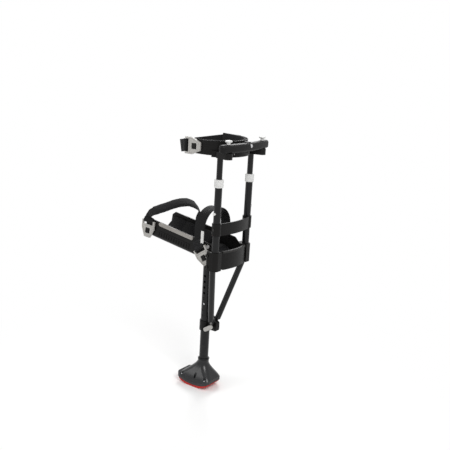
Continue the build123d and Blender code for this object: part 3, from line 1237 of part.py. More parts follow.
def make_ankle_sleeve():
    """A padded tube of cloth round the ankle strap's arch."""
    sleeve = ankle_band(2 * SLEEVE_HALF, SLEEVE_WIDTH)
    sleeve -= ankle_band(WEB_THICKNESS + 2 * SOFT_GAP, WEB + 2 * SOFT_GAP)
    start, end = (share * ankle_half_span() for share in SLEEVE_ENDS)
    return ankle_place() * (sleeve & slab(start, end, -WEB, WEB, -CLEAR, CLEAR))


def make_strap_anchors():
    """Plates over the straps' inner ends, each with two pins into the platform's side."""
    pins = list(anchor_pins())
    plates = []
    for pair, x, end in ((pins[:2], KNEE_STRAP_X, PLATFORM_HALF + SOFT_GAP),
                         (pins[2:], inner_ankle_x(), PLATFORM_HALF + TRIM_THICKNESS + SOFT_GAP)):
        y = end + WEB_THICKNESS
        z = pair[0][1] - ANCHOR_PIN_INSET
        plate = slab(x - WEB / 2, x + WEB / 2, y, y + ANCHOR_PLATE, z, z + ANCHOR_PLATE_HEIGHT)
        plate = fillet(plate.edges().filter_by(Axis.Y), TAB_CORNER_R)
        for pin_x, pin_z in pair:
            inner = PLATFORM_HALF - PLATFORM_WALL + SOFT_GAP
            plate += rod(ANCHOR_PIN_R, inner, y + ANCHOR_PLATE, pin_x, pin_z)
            plate += rod(2 * ANCHOR_PIN_R, y + ANCHOR_PLATE, y + 1.5 * ANCHOR_PLATE, pin_x, pin_z)
        plates.append(plate)
    return plates


# The nodes

save("tread", make_tread())
save("foot_core", make_foot_core())
save("foot_shell", make_foot_shell())
save("foot_screws", *make_foot_screws())
save("neck_ring", make_neck_ring())
save("leg_tube", make_leg_tube())
save("leg_spring", make_leg_spring())
save("upper_tube", make_upper_tube())
save("tube_head", make_tube_head())
save("head_bolt", cross_bolt(HEAD_R, 0, HEAD_BOLT_Z))
save("head_screws", *make_head_screws())
save("leg_collar", make_leg_collar())
save("apex_bolt", cross_bolt(EAR_Y + STRUT_TAB, APEX_X, APEX_Z))
save("clamp_knob", make_clamp_knob())
save("clamp_screw", make_clamp_screw())
save("clamp_nut", make_clamp_nut())
save("knee_platform", make_platform())
save("cup_edging", make_cup_edging())
save("shin_pad", make_shin_pad())
save("knee_pad", make_knee_pad())
save("tray_trims", make_trim(OUTER), make_trim(INNER))
save("side_screws", make_side_screw(OUTER), make_side_screw(INNER))
save("block_bolts", *make_block_bolts())
save("crossbar", make_crossbar())
save("crossbar_screws", *make_crossbar_screws())
save("post_bushes", *make_post_bushes())
save("thigh_yoke", make_yoke())
save("yoke_rivets", *make_rivets())
save("thigh_band", make_thigh_band())
save("thigh_pad", make_thigh_pad())
save("front_grip", make_grip())
save("grip_screw", make_grip_screw())
save("thigh_strap", make_thigh_strap())
save("thigh_anchor", make_thigh_anchor())
save("thigh_peg", THIGH_FRAME * make_peg())
save("knee_strap", make_knee_strap())
save("knee_tab", make_knee_tab())
save("ankle_strap", make_ankle_strap())
save("ankle_sleeve", make_ankle_sleeve())
save("strap_anchors", *make_strap_anchors())
save("strap_pegs", KNEE_FRAME * make_peg(), ANKLE_FRAME * make_peg())
save("thigh_buckle", THIGH_FRAME * make_buckle())
save("knee_buckle", KNEE_FRAME * make_buckle())
save("ankle_buckle", ANKLE_FRAME * make_buckle())
for name, side in SIDES.items():
    save(f"leg_button_{name}", make_leg_button(side))
    save(f"strut_{name}", make_strut(side))
    save(f"corner_block_{name}", make_corner_block(side))
    save(f"post_lower_{name}", make_post_lower(side))
    save(f"twist_collar_{name}", make_twist_collar(side))
    save(f"post_button_{name}", make_post_button(side))
    save(f"post_upper_{name}", make_post_upper(side))
    save(f"thumb_knob_{name}", make_thumb_knob(side))
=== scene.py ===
"""Looks of a hands free crutch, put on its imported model."""
import json
from math import cos, pi, radians, sin

import bmesh
import bpy
from mathutils import Matrix, Vector, noise

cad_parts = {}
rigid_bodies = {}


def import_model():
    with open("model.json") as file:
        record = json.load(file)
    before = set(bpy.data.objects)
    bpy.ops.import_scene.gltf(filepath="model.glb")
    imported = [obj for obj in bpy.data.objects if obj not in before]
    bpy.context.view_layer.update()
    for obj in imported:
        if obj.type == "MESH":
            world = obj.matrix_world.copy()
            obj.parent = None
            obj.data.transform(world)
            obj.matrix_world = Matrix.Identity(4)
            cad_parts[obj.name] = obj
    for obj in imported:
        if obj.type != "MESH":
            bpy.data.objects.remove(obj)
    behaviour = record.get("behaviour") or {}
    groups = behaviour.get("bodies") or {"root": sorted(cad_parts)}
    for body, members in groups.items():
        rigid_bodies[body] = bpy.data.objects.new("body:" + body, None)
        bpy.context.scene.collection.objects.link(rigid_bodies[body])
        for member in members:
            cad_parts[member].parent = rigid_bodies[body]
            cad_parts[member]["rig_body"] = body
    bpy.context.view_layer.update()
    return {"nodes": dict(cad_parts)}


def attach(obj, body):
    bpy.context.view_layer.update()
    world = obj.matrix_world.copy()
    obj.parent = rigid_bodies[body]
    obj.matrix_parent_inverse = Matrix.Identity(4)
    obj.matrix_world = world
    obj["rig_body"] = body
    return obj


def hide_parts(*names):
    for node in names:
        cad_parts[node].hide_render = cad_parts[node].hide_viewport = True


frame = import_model()
nodes = frame["nodes"]


# Camera, floor and studio light.
# The camera stands 1.2 m up and 2.4 m away, off the outer front corner, and is swung, dipped and
# rolled a little from a level view of the leg. The floor is pale, and three soft lamps light all.

camera_turn, camera_off, camera_height = radians(36.62), 2.40, 1.171
camera_swing, camera_dip, camera_roll = radians(1.149), radians(13.883), radians(3.257)
ahead = Vector((-sin(camera_turn), cos(camera_turn), 0))
right = Vector((cos(camera_turn), sin(camera_turn), 0))
up = Vector((0, 0, 1))
ahead, right = (ahead * cos(camera_swing) + right * sin(camera_swing),
                right * cos(camera_swing) - ahead * sin(camera_swing))
ahead, up = (ahead * cos(camera_dip) - up * sin(camera_dip),
             ahead * sin(camera_dip) + up * cos(camera_dip))
right, up = (right * cos(camera_roll) + up * sin(camera_roll),
             up * cos(camera_roll) - right * sin(camera_roll))
camera_data = bpy.data.cameras.new("camera")
camera_data.sensor_width = 36.0
camera_data.lens = 59.4
camera_data.clip_end = 60.0
camera = bpy.data.objects.new("camera", camera_data)
camera.matrix_world = (Matrix.Translation((camera_off * sin(camera_turn),
                                           -camera_off * cos(camera_turn), camera_height))
                       @ Matrix((right, up, -ahead)).transposed().to_4x4())
bpy.context.scene.collection.objects.link(camera)
bpy.context.scene.camera = camera
bpy.context.scene.view_settings.view_transform = "Standard"


def shader_of(name):
    """A new node material, with its tree and its one surface shader."""
    material = bpy.data.materials.new(name)
    material.use_nodes = True
    return material, material.node_tree, material.node_tree.nodes["Principled BSDF"]


def mixed(tree, factor, a, b):
    """A blend of two colours, each a socket or a plain colour."""
    node = tree.nodes.new("ShaderNodeMix")
    node.data_type = "RGBA"
    for label, value in (("Factor", factor), ("A", a), ("B", b)):
        socket = node.inputs[label] if label == "Factor" else [
            s for s in node.inputs if s.name == label and s.type == "RGBA"][0]
        if isinstance(value, bpy.types.NodeSocket):
            tree.links.new(value, socket)
        else:
            socket.default_value = value
    return [s for s in node.outputs if s.type == "RGBA"][0]


floor_mesh = bpy.data.meshes.new("floor")
floor_bm = bmesh.new()
bmesh.ops.create_grid(floor_bm, x_segments=8, y_segments=8, size=14.0)
bmesh.ops.translate(floor_bm, verts=floor_bm.verts, vec=(0, 0, -0.0004))
floor_bm.to_mesh(floor_mesh)
floor_bm.free()
floor = bpy.data.objects.new("floor", floor_mesh)
bpy.context.scene.collection.objects.link(floor)
floor_paint, floor_tree, floor_shader = shader_of("floor_paint")
floor_place = floor_tree.nodes.new("ShaderNodeTexCoord")
floor_cloud = floor_tree.nodes.new("ShaderNodeTexNoise")
floor_cloud.inputs["Scale"].default_value = 1.7
floor_tree.links.new(floor_place.outputs["Object"], floor_cloud.inputs["Vector"])
floor_tree.links.new(mixed(floor_tree, floor_cloud.outputs["Fac"], (0.90, 0.90, 0.895, 1),
                           (0.93, 0.93, 0.93, 1)), floor_shader.inputs["Base Color"])
floor_shader.inputs["Roughness"].default_value = 0.75
floor_shader.inputs["Specular IOR Level"].default_value = 0.15
floor_mesh.materials.append(floor_paint)


def seen_rays(tree):
    """One where a ray comes from the camera, or by way of gloss or glass."""
    rays = tree.nodes.new("ShaderNodeLightPath")
    total = rays.outputs["Is Camera Ray"]
    for kind in ("Is Glossy Ray", "Is Transmission Ray"):
        both = tree.nodes.new("ShaderNodeMath")
        both.operation = "MAXIMUM"
        tree.links.new(total, both.inputs[0])
        tree.links.new(rays.outputs[kind], both.inputs[1])
        total = both.outputs["Value"]
    return total


# Away from the foot the floor is seen plain white, so that it runs into the backdrop
floor_far = floor_tree.nodes.new("ShaderNodeVectorMath")
floor_far.operation = "LENGTH"
floor_tree.links.new(floor_place.outputs["Object"], floor_far.inputs[0])
floor_fade = floor_tree.nodes.new("ShaderNodeMapRange")
floor_fade.interpolation_type = "SMOOTHSTEP"
shade_ends, white_starts = 0.10, 0.95
floor_fade.inputs["From Min"].default_value = shade_ends
floor_fade.inputs["From Max"].default_value = white_starts
floor_tree.links.new(floor_far.outputs["Value"], floor_fade.inputs["Value"])
floor_share = floor_tree.nodes.new("ShaderNodeMath")
floor_share.operation = "MULTIPLY"
floor_tree.links.new(floor_fade.outputs["Result"], floor_share.inputs[0])
floor_tree.links.new(seen_rays(floor_tree), floor_share.inputs[1])
floor_white = floor_tree.nodes.new("ShaderNodeEmission")
floor_white.inputs["Color"].default_value = (1, 1, 1, 1)
floor_white.inputs["Strength"].default_value = 1.0
floor_mix = floor_tree.nodes.new("ShaderNodeMixShader")
floor_tree.links.new(floor_share.outputs["Value"], floor_mix.inputs["Fac"])
floor_tree.links.new(floor_shader.outputs["BSDF"], floor_mix.inputs[1])
floor_tree.links.new(floor_white.outputs["Emission"], floor_mix.inputs[2])
floor_tree.links.new(floor_mix.outputs["Shader"],
                     floor_tree.nodes["Material Output"].inputs["Surface"])

world = bpy.data.worlds.new("studio")
bpy.context.scene.world = world
world.use_nodes = True
sky = world.node_tree
sky_light = sky.nodes["Background"]
sky_light.inputs["Color"].default_value = (1, 1, 1, 1)
sky_light.inputs["Strength"].default_value = 0.62
sky_seen = sky.nodes.new("ShaderNodeBackground")
sky_seen.inputs["Color"].default_value = (1, 1, 1, 1)
sky_seen.inputs["Strength"].default_value = 1.0
sky_mix = sky.nodes.new("ShaderNodeMixShader")
sky.links.new(seen_rays(sky), sky_mix.inputs["Fac"])
sky.links.new(sky_light.outputs["Background"], sky_mix.inputs[1])
sky.links.new(sky_seen.outputs["Background"], sky_mix.inputs[2])
sky.links.new(sky_mix.outputs["Shader"], sky.nodes["World Output"].inputs["Surface"])

lamps_aim = Vector((0, 0, 0.5))
for lamp_name, place, size, watts in (("key", (1.9, -1.2, 2.3), 1.0, 40.0),
                                      ("fill", (-1.6, -2.1, 1.5), 1.4, 18.0),
                                      ("back", (-1.2, 1.9, 2.2), 1.0, 30.0)):
    lamp = bpy.data.lights.new(lamp_name, "AREA")
    lamp.size = size
    lamp.energy = watts
    lamp_object = bpy.data.objects.new(lamp_name, lamp)
    turn = (lamps_aim - Vector(place)).to_track_quat("-Z", "Y").to_matrix().to_4x4()
    lamp_object.matrix_world = Matrix.Translation(place) @ turn
    bpy.context.scene.collection.objects.link(lamp_object)


# Rocker foot: a red rubber tread on a grey core, under a moulded shell.
# The tread is vulcanised to the core, and six pan-head screws pull both up against the shell's
# bosses. The shell is injection moulded, so it is smooth and a little glossy, with scuffs low down.

def new_group(name, inputs, outputs):
    """A shader node group with these named sockets, and its two end nodes."""
    group = bpy.data.node_groups.new(name, "ShaderNodeTree")
    for label, kind, value in inputs:
        group.interface.new_socket(label, in_out="INPUT", socket_type=kind).default_value = value
    for label, kind in outputs:
        group.interface.new_socket(label, in_out="OUTPUT", socket_type=kind)
    return group, group.nodes.new("NodeGroupInput"), group.nodes.new("NodeGroupOutput")


def maths(tree, operation, *values, clamp=False):
    """One maths node: a value is a socket to link or a plain number."""
    node = tree.nodes.new("ShaderNodeMath")
    node.operation = operation
    node.use_clamp = clamp
    for slot, value in enumerate(values):
        if isinstance(value, bpy.types.NodeSocket):
            tree.links.new(value, node.inputs[slot])
        else:
            node.inputs[slot].default_value = value
    return node.outputs["Value"]


def noise_of(tree, vector, scale, detail=3.0, rough=0.5):
    """A noise texture's value: the scale is a socket to link or a plain number."""
    node = tree.nodes.new("ShaderNodeTexNoise")
    tree.links.new(vector, node.inputs["Vector"])
    if isinstance(scale, bpy.types.NodeSocket):
        tree.links.new(scale, node.inputs["Scale"])
    else:
        node.inputs["Scale"].default_value = scale
    node.inputs["Detail"].default_value = detail
    node.inputs["Roughness"].default_value = rough
    return node.outputs["Fac"]


# Grain: slow mottling of colour and gloss, and a fine even texture in the surface
grain_group, grain_in, grain_out = new_group(
    "moulded_grain",
    (("Colour", "NodeSocketColor", (0.1, 0.1, 0.1, 1)), ("Mottling", "NodeSocketFloat", 0.3),
     ("Gloss Off", "NodeSocketFloat", 0.4), ("Grain", "NodeSocketFloat", 900.0),
     ("Lift", "NodeSocketFloat", 0.012)),
    (("Colour", "NodeSocketColor"), ("Roughness", "NodeSocketFloat"),
     ("Height", "NodeSocketFloat")))
grain_place = grain_group.nodes.new("ShaderNodeTexCoord").outputs["Object"]
grain_slow = noise_of(grain_group, grain_place, 18.0, 4.0)
grain_fine = noise_of(grain_group, grain_place, grain_in.outputs["Grain"], 2.0)
grain_dark = mixed(grain_group, 0.55, grain_in.outputs["Colour"], (0, 0, 0, 1))
grain_pale = mixed(grain_group, grain_in.outputs["Lift"], grain_in.outputs["Colour"], (1, 1, 1, 1))
grain_shade = mixed(grain_group, grain_slow, grain_dark, grain_pale)
grain_group.links.new(mixed(grain_group, grain_in.outputs["Mottling"], grain_in.outputs["Colour"],
                            grain_shade), grain_out.inputs["Colour"])
grain_swing = maths(grain_group, "MULTIPLY_ADD", grain_slow, 0.22, -0.11)
grain_group.links.new(maths(grain_group, "ADD", grain_in.outputs["Gloss Off"], grain_swing,
                            clamp=True), grain_out.inputs["Roughness"])
grain_group.links.new(grain_fine, grain_out.inputs["Height"])

# Scuffs: thin scratches and rubbed patches, thicker towards the ground
scuff_group, scuff_in, scuff_out = new_group(
    "scuffs",
    (("Amount", "NodeSocketFloat", 0.4), ("Fades At", "NodeSocketFloat", 0.12)),
    (("Mask", "NodeSocketFloat"),))
scuff_place = scuff_group.nodes.new("ShaderNodeTexCoord").outputs["Object"]
scuff_stretch = scuff_group.nodes.new("ShaderNodeMapping")
scuff_stretch.inputs["Scale"].default_value = (1.0, 1.0, 9.0)
scuff_stretch.inputs["Rotation"].default_value = (0.3, 0.5, 0.2)
scuff_group.links.new(scuff_place, scuff_stretch.inputs["Vector"])
scuff_lines = noise_of(scuff_group, scuff_stretch.outputs["Vector"], 60.0, 5.0, 0.7)
scuff_patch = noise_of(scuff_group, scuff_place, 24.0, 4.0, 0.6)
scuff_thin = maths(scuff_group, "MULTIPLY_ADD", scuff_lines, 9.0, -5.3, clamp=True)
scuff_rub = maths(scuff_group, "MULTIPLY_ADD", scuff_patch, 5.0, -2.7, clamp=True)
scuff_height = scuff_group.nodes.new("ShaderNodeSeparateXYZ")
scuff_group.links.new(scuff_place, scuff_height.inputs["Vector"])
scuff_fall = maths(scuff_group, "DIVIDE", scuff_height.outputs["Z"], scuff_in.outputs["Fades At"])
scuff_low = maths(scuff_group, "SUBTRACT", 1.15, scuff_fall, clamp=True)
scuff_all = maths(scuff_group, "MAXIMUM", scuff_thin, scuff_rub)
scuff_both = maths(scuff_group, "MULTIPLY", scuff_all, scuff_low)
scuff_group.links.new(maths(scuff_group, "MULTIPLY", scuff_both, scuff_in.outputs["Amount"],
                            clamp=True), scuff_out.inputs["Mask"])


def placed(tree, group, **values):
    """A group node in a tree, with its values set by name; an underscore stands for a space."""
    node = tree.nodes.new("ShaderNodeGroup")
    node.node_tree = group
    for label, value in values.items():
        node.inputs[label.replace("_", " ")].default_value = value
    return node


def moulded(name, colour, gloss_off, mottling=0.3, grain=900.0, depth=0.15, lift=0.012,
            gloss=0.5, scuffs=0.0, fades_at=0.12, scuff_colour=(0.12, 0.12, 0.12, 1)):
    """A moulded, coated or machined surface: grain all over, and scuffs, if asked for, thicker
    towards the ground.
    """
    material, tree, shader = shader_of(name)
    body = placed(tree, grain_group, Colour=(*colour, 1), Mottling=mottling, Gloss_Off=gloss_off,
                  Grain=grain, Lift=lift)
    shader.inputs["Specular IOR Level"].default_value = gloss
    colour_out, rough_out = body.outputs["Colour"], body.outputs["Roughness"]
    if scuffs:
        mask = placed(tree, scuff_group, Amount=scuffs, Fades_At=fades_at).outputs["Mask"]
        colour_out = mixed(tree, mask, colour_out, scuff_colour)
        rough_out = maths(tree, "MULTIPLY_ADD", mask, 0.3, rough_out, clamp=True)
    tree.links.new(colour_out, shader.inputs["Base Color"])
    tree.links.new(rough_out, shader.inputs["Roughness"])
    bump = tree.nodes.new("ShaderNodeBump")
    bump.inputs["Strength"].default_value = depth
    bump.inputs["Distance"].default_value = 0.0004
    tree.links.new(body.outputs["Height"], bump.inputs["Height"])
    tree.links.new(bump.outputs["Normal"], shader.inputs["Normal"])
    return material, shader


def dress(material, *names):
    """Puts a material on CAD nodes."""
    for name in names:
        mesh = nodes[name].data
        mesh.materials.clear()
        mesh.materials.append(material)


def rounded(name, material, *cad, width=0.0008, segments=2):
    """A piece for each CAD node: a merged copy whose sharp edges are rounded."""
    for node in cad:
        mesh = nodes[node].data.copy()
        mesh.name = name
        bm = bmesh.new()
        bm.from_mesh(mesh)
        bmesh.ops.remove_doubles(bm, verts=bm.verts, dist=1e-6)
        bmesh.ops.dissolve_limit(bm, angle_limit=radians(0.6), verts=bm.verts, edges=bm.edges)
        for face in bm.faces:
            face.smooth = True
        bm.to_mesh(mesh)
        bm.free()
        if mesh.has_custom_normals:
            mesh.attributes.remove(mesh.attributes["custom_normal"])
        mesh.materials.clear()
        mesh.materials.append(material)
        piece = bpy.data.objects.new(f"{node}_finished", mesh)
        bpy.context.scene.collection.objects.link(piece)
        bevel = piece.modifiers.new("rounding", "BEVEL")
        bevel.width = width
        bevel.segments = segments
        bevel.limit_method = "ANGLE"
        bevel.angle_limit = radians(35)
        bevel.harden_normals = True
        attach(piece, nodes[node]["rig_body"])
        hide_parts(node)


tread_red = moulded("tread_red", (0.50, 0.020, 0.014), 0.58, 0.4, 700.0, 0.35, gloss=0.3,
                    scuffs=0.35, fades_at=0.012, scuff_colour=(0.20, 0.05, 0.045, 1))[0]
dress(tread_red, "tread")
core_grey = moulded("core_grey", (0.030, 0.030, 0.032), 0.55, 0.4, 800.0, 0.25, gloss=0.3)[0]
dress(core_grey, "foot_core")
shell_black, shell_shader = moulded("shell_black", (0.0058, 0.0063, 0.0076), 0.26, 0.45, 520.0,
                                    0.10, lift=0.010, gloss=0.30, scuffs=0.14, fades_at=0.05)
shell_shader.inputs["Coat Weight"].default_value = 0.12
shell_shader.inputs["Coat Roughness"].default_value = 0.16
dress(shell_black, "foot_shell")
bright_metal, bright_shader = moulded("bright_metal", (0.60, 0.60, 0.61), 0.28, 0.35, 1400.0, 0.10,
                                      lift=0.05)
bright_shader.inputs["Metallic"].default_value = 1.0
dress(bright_metal, "foot_screws")
ring_black = moulded("ring_black", (0.0050, 0.0050, 0.0055), 0.34, 0.4, 900.0, 0.12, lift=0.006,
                     gloss=0.2)[0]
dress(ring_black, "neck_ring")


# Leg tube, upper tube and struts: drawn aluminium, black anodised.
# The leg tube slides in the pierced upper tube, which a split collar clamps. The struts run from
# the collar's ears to the corner blocks. The tubes are satin, and scuffed more the lower they are.

tube_black, tube_shader = moulded("tube_black", (0.0042, 0.0043, 0.0048), 0.22, 0.45, 1100.0, 0.10,
                                  lift=0.006, gloss=0.22, scuffs=0.12, fades_at=0.55)
tube_shader.inputs["Coat Weight"].default_value = 0.08
tube_shader.inputs["Coat Roughness"].default_value = 0.12
dress(tube_black, "leg_tube", "upper_tube", "strut_outer", "strut_inner",
      "post_lower_outer", "post_lower_inner", "post_upper_outer", "post_upper_inner")
dress(bright_metal, "leg_button_outer", "leg_button_inner", "leg_spring", "clamp_nut", "grip_screw")
dull_metal, dull_shader = moulded("dull_metal", (0.26, 0.255, 0.25), 0.36, 0.5, 1400.0, 0.12,
                                  lift=0.05)
dull_shader.inputs["Metallic"].default_value = 1.0
dress(dull_metal, "side_screws", "apex_bolt", "clamp_screw", "head_bolt", "head_screws",
      "yoke_rivets")
oxide_black, oxide_shader = moulded("oxide_black", (0.030, 0.029, 0.028), 0.40, 0.5, 1400.0, 0.12)
oxide_shader.inputs["Metallic"].default_value = 0.8
dress(oxide_black, "block_bolts", "crossbar_screws")


# Black mouldings: knee platform, collar, corner blocks, crossbar, yoke and thigh band.
# They are glass-filled nylon: satin, slightly mottled, with a fine spark-eroded texture and
# softly rounded edges that catch the light.

nylon_black = moulded("nylon_black", (0.0058, 0.0054, 0.0051), 0.36, 0.45, 1500.0, 0.22, lift=0.006,
                      gloss=0.13)[0]
rounded("nylon", nylon_black, "knee_platform", "leg_collar", "corner_block_outer",
        "corner_block_inner", "crossbar", "thigh_yoke", "tube_head", "thigh_band", "thigh_anchor",
        "strap_anchors", "thigh_peg", "strap_pegs", width=0.0009)
dress(nylon_black, "post_bushes")
edging_black = moulded("edging_black", (0.016, 0.015, 0.014), 0.5, 0.4, 900.0, 0.3, gloss=0.25)[0]
rounded("edging", edging_black, "cup_edging", width=0.0012)
trim_grey = moulded("trim_grey", (0.265, 0.250, 0.230), 0.48, 0.4, 1200.0, 0.2, lift=0.06,
                    gloss=0.3)[0]
rounded("trim", trim_grey, "tray_trims", width=0.0007)


# Pale fittings: twist collars, buttons and thumb knobs in white, buckles and clamp in grey.
# All are acetal, which is waxy, and the white ones are a little translucent. The buckles, the
# clamp and the pull tab have rounded edges.

acetal_white, white_shader = moulded("acetal_white", (0.60, 0.60, 0.59), 0.36, 0.12, 900.0, 0.08,
                                     lift=0.1, gloss=0.35)
white_shader.inputs["Subsurface Weight"].default_value = 0.08
white_shader.inputs["Subsurface Radius"].default_value = (0.004, 0.004, 0.004)
dress(acetal_white, "twist_collar_outer", "twist_collar_inner", "post_button_outer",
      "post_button_inner", "thumb_knob_outer", "thumb_knob_inner")
acetal_grey = moulded("acetal_grey", (0.375, 0.365, 0.345), 0.34, 0.3, 900.0, 0.1, lift=0.1,
                      gloss=0.35)[0]
rounded("acetal", acetal_grey, "clamp_knob", "thigh_buckle", "knee_buckle", "ankle_buckle",
        width=0.0010, segments=3)
rounded("pull_tab", acetal_white, "knee_tab", width=0.0008, segments=3)


# Front grip: a soft-touch rubber handle, moulded over a stiff core.
# It is matt, with a coarser grain than the nylon round it and a trace of sheen.

grip_black, grip_shader = moulded("grip_black", (0.0052, 0.0050, 0.0050), 0.50, 0.45, 420.0, 0.35,
                                  lift=0.006, gloss=0.14)
grip_shader.inputs["Sheen Weight"].default_value = 0.03
grip_shader.inputs["Sheen Roughness"].default_value = 0.5
dress(grip_black, "front_grip")


# Webbing: thigh, knee and ankle straps, woven from black polyester, 40 mm wide.
# Each is cut to length, turned round its hook's bar and sewn down with boxes of stitches. Its two
# edges stand a little proud, and the weave runs across in small ribs.

# Weave: ribs across the webbing, broken into staggered threads, from a UV map in metres
weave_group, weave_in, weave_out = new_group(
    "webbing_weave",
    (("Width", "NodeSocketFloat", 0.04), ("Thread", "NodeSocketFloat", 0.0016)),
    (("Height", "NodeSocketFloat"),))
weave_uv = weave_group.nodes.new("ShaderNodeSeparateXYZ")
weave_group.links.new(weave_group.nodes.new("ShaderNodeTexCoord").outputs["UV"],
                      weave_uv.inputs["Vector"])
weave_across, weave_along = weave_uv.outputs["X"], weave_uv.outputs["Y"]
thread_turn = maths(weave_group, "DIVIDE", 2 * pi, weave_in.outputs["Thread"])
weave_weft = maths(weave_group, "SINE", maths(weave_group, "MULTIPLY", weave_along, thread_turn))
weave_warp = maths(weave_group, "SINE", maths(weave_group, "MULTIPLY", weave_across, thread_turn))
weave_cross = maths(weave_group, "MULTIPLY", weave_weft, weave_warp)
weave_share = maths(weave_group, "DIVIDE", weave_across, weave_in.outputs["Width"])
weave_from_middle = maths(weave_group, "ABSOLUTE", maths(weave_group, "SUBTRACT", weave_share, 0.5))
weave_edge = maths(weave_group, "MULTIPLY_ADD", weave_from_middle, 30.0, -13.3, clamp=True)
weave_ribs = maths(weave_group, "MULTIPLY_ADD", weave_cross, 0.5, 0.5)
weave_proud = maths(weave_group, "MULTIPLY", weave_edge, 0.8)
weave_group.links.new(maths(weave_group, "ADD", weave_ribs, weave_proud),
                      weave_out.inputs["Height"])

# Box stitch: a sewn square with a cross in it, at one place along the webbing
box_group, box_in, box_out = new_group(
    "box_stitch",
    (("Width", "NodeSocketFloat", 0.04), ("Middle", "NodeSocketFloat", 0.02),
     ("Half", "NodeSocketFloat", 0.012)),
    (("Mask", "NodeSocketFloat"),))
box_uv = box_group.nodes.new("ShaderNodeSeparateXYZ")
box_group.links.new(box_group.nodes.new("ShaderNodeTexCoord").outputs["UV"],
                    box_uv.inputs["Vector"])
box_across = maths(box_group, "ABSOLUTE", maths(box_group, "MULTIPLY_ADD", maths(
    box_group, "DIVIDE", box_uv.outputs["X"], box_in.outputs["Width"]), 2.6, -1.3))
box_along = maths(box_group, "ABSOLUTE", maths(box_group, "DIVIDE", maths(
    box_group, "SUBTRACT", box_uv.outputs["Y"], box_in.outputs["Middle"]), box_in.outputs["Half"]))
box_far = maths(box_group, "MAXIMUM", box_across, box_along)
box_rim = maths(box_group, "COMPARE", box_far, 0.96, 0.045)
box_cross = maths(box_group, "COMPARE", maths(box_group, "SUBTRACT", box_across, box_along),
                  0.0, 0.05)
box_inside = maths(box_group, "LESS_THAN", box_far, 1.0)
box_slant = maths(box_group, "ADD", box_uv.outputs["X"], box_uv.outputs["Y"])
box_beat = maths(box_group, "LESS_THAN",
                 maths(box_group, "FRACT", maths(box_group, "DIVIDE", box_slant, 0.0034)), 0.72)
box_drawn = maths(box_group, "MAXIMUM", box_rim, box_cross)
box_lines = maths(box_group, "MULTIPLY", box_drawn, box_inside)
box_group.links.new(maths(box_group, "MULTIPLY", box_lines, box_beat), box_out.inputs["Mask"])


def webbing(name, *boxes):
    """Woven strap, sewn with a box stitch at each of these places along it, in metres."""
    material, tree, shader = shader_of(name)
    weave = placed(tree, weave_group, Width=0.04, Thread=0.0017)
    fuzz = noise_of(tree, tree.nodes.new("ShaderNodeTexCoord").outputs["Object"], 45.0, 4.0, 0.6)
    shade = mixed(tree, maths(tree, "MULTIPLY", fuzz, 0.7), (0.0046, 0.0046, 0.0052, 1),
                  (0.0105, 0.0103, 0.0108, 1))
    # The weave's height also sets its colour: painted shade darkens the hollows between the
    # threads, so the raised ribs and proud edges read lighter.
    colour = mixed(tree, maths(tree, "MULTIPLY", weave.outputs["Height"], 0.5),
                   (0.0020, 0.0020, 0.0023, 1), shade)
    sewn = 0.0
    for middle in boxes:
        box = placed(tree, box_group, Middle=middle)
        sewn = maths(tree, "MAXIMUM", sewn, box.outputs["Mask"])
    colour = mixed(tree, maths(tree, "MULTIPLY", sewn, 0.8), colour, (0.034, 0.034, 0.037, 1))
    tree.links.new(colour, shader.inputs["Base Color"])
    tree.links.new(maths(tree, "MULTIPLY_ADD", fuzz, 0.2, 0.55), shader.inputs["Roughness"])
    bump = tree.nodes.new("ShaderNodeBump")
    bump.inputs["Strength"].default_value = 0.55
    bump.inputs["Distance"].default_value = 0.0005
    tree.links.new(maths(tree, "MULTIPLY_ADD", sewn, 0.8, weave.outputs["Height"]),
                   bump.inputs["Height"])
    tree.links.new(bump.outputs["Normal"], shader.inputs["Normal"])
    shader.inputs["Specular IOR Level"].default_value = 0.15
    shader.inputs["Sheen Weight"].default_value = 0.03
    shader.inputs["Sheen Roughness"].default_value = 0.4
    return material


def ribbon(name, rails, thickness, boxes, columns=6, ripple=0.0):
    """A strap between two rails, as (left, right) points at each station. Gives it and its length.

    The boxes are places of stitches along it, and one below zero counts from its far end.
    """
    bm = bmesh.new()
    uv = bm.loops.layers.uv.new("run")
    left, right_rail = rails[0]
    row = [bm.verts.new(left.lerp(right_rail, k / columns)) for k in range(columns + 1)]
    edges = [bm.edges.new(pair) for pair in zip(row, row[1:])]
    along, stations = 0.0, {vert: (k / columns * (right_rail - left).length, 0.0)
                            for k, vert in enumerate(row)}
    for (left0, right0), (left1, right1) in zip(rails, rails[1:]):
        along += ((left1 + right1) / 2 - (left0 + right0) / 2).length
        grown = bmesh.ops.extrude_edge_only(bm, edges=edges)["geom"]
        edges = [g for g in grown if isinstance(g, bmesh.types.BMEdge)
                 and all(v in grown for v in g.verts)]
        fresh = [g for g in grown if isinstance(g, bmesh.types.BMVert)]
        side = (right1 - left1).normalized()
        fresh.sort(key=lambda v: (v.co - left0).dot((right0 - left0).normalized()))
        travel = ((left1 + right1) - (left0 + right0)).normalized()
        out = travel.cross(side).normalized()
        width = (right1 - left1).length
        for k, vert in enumerate(fresh):
            share = k / columns
            base = left1.lerp(right1, share)
            wave = ripple * noise.noise(base * 22.0)
            vert.co = base + out * wave
            stations[vert] = (share * width, along)
    for face in bm.faces:
        face.smooth = True
        for loop in face.loops:
            loop[uv].uv = stations[loop.vert]
    bmesh.ops.recalc_face_normals(bm, faces=bm.faces)
    mesh = bpy.data.meshes.new(name)
    bm.to_mesh(mesh)
    bm.free()
    mesh.materials.append(webbing(name + "_weave",
                                  *[box if box > 0 else along + box for box in boxes]))
    piece = bpy.data.objects.new(name, mesh)
    bpy.context.scene.collection.objects.link(piece)
    skin = piece.modifiers.new("thickness", "SOLIDIFY")
    skin.thickness = thickness
    skin.offset = 0
    soft_edge = piece.modifiers.new("rounding", "BEVEL")
    soft_edge.width = thickness * 0.3
    soft_edge.segments = 2
    return piece, along


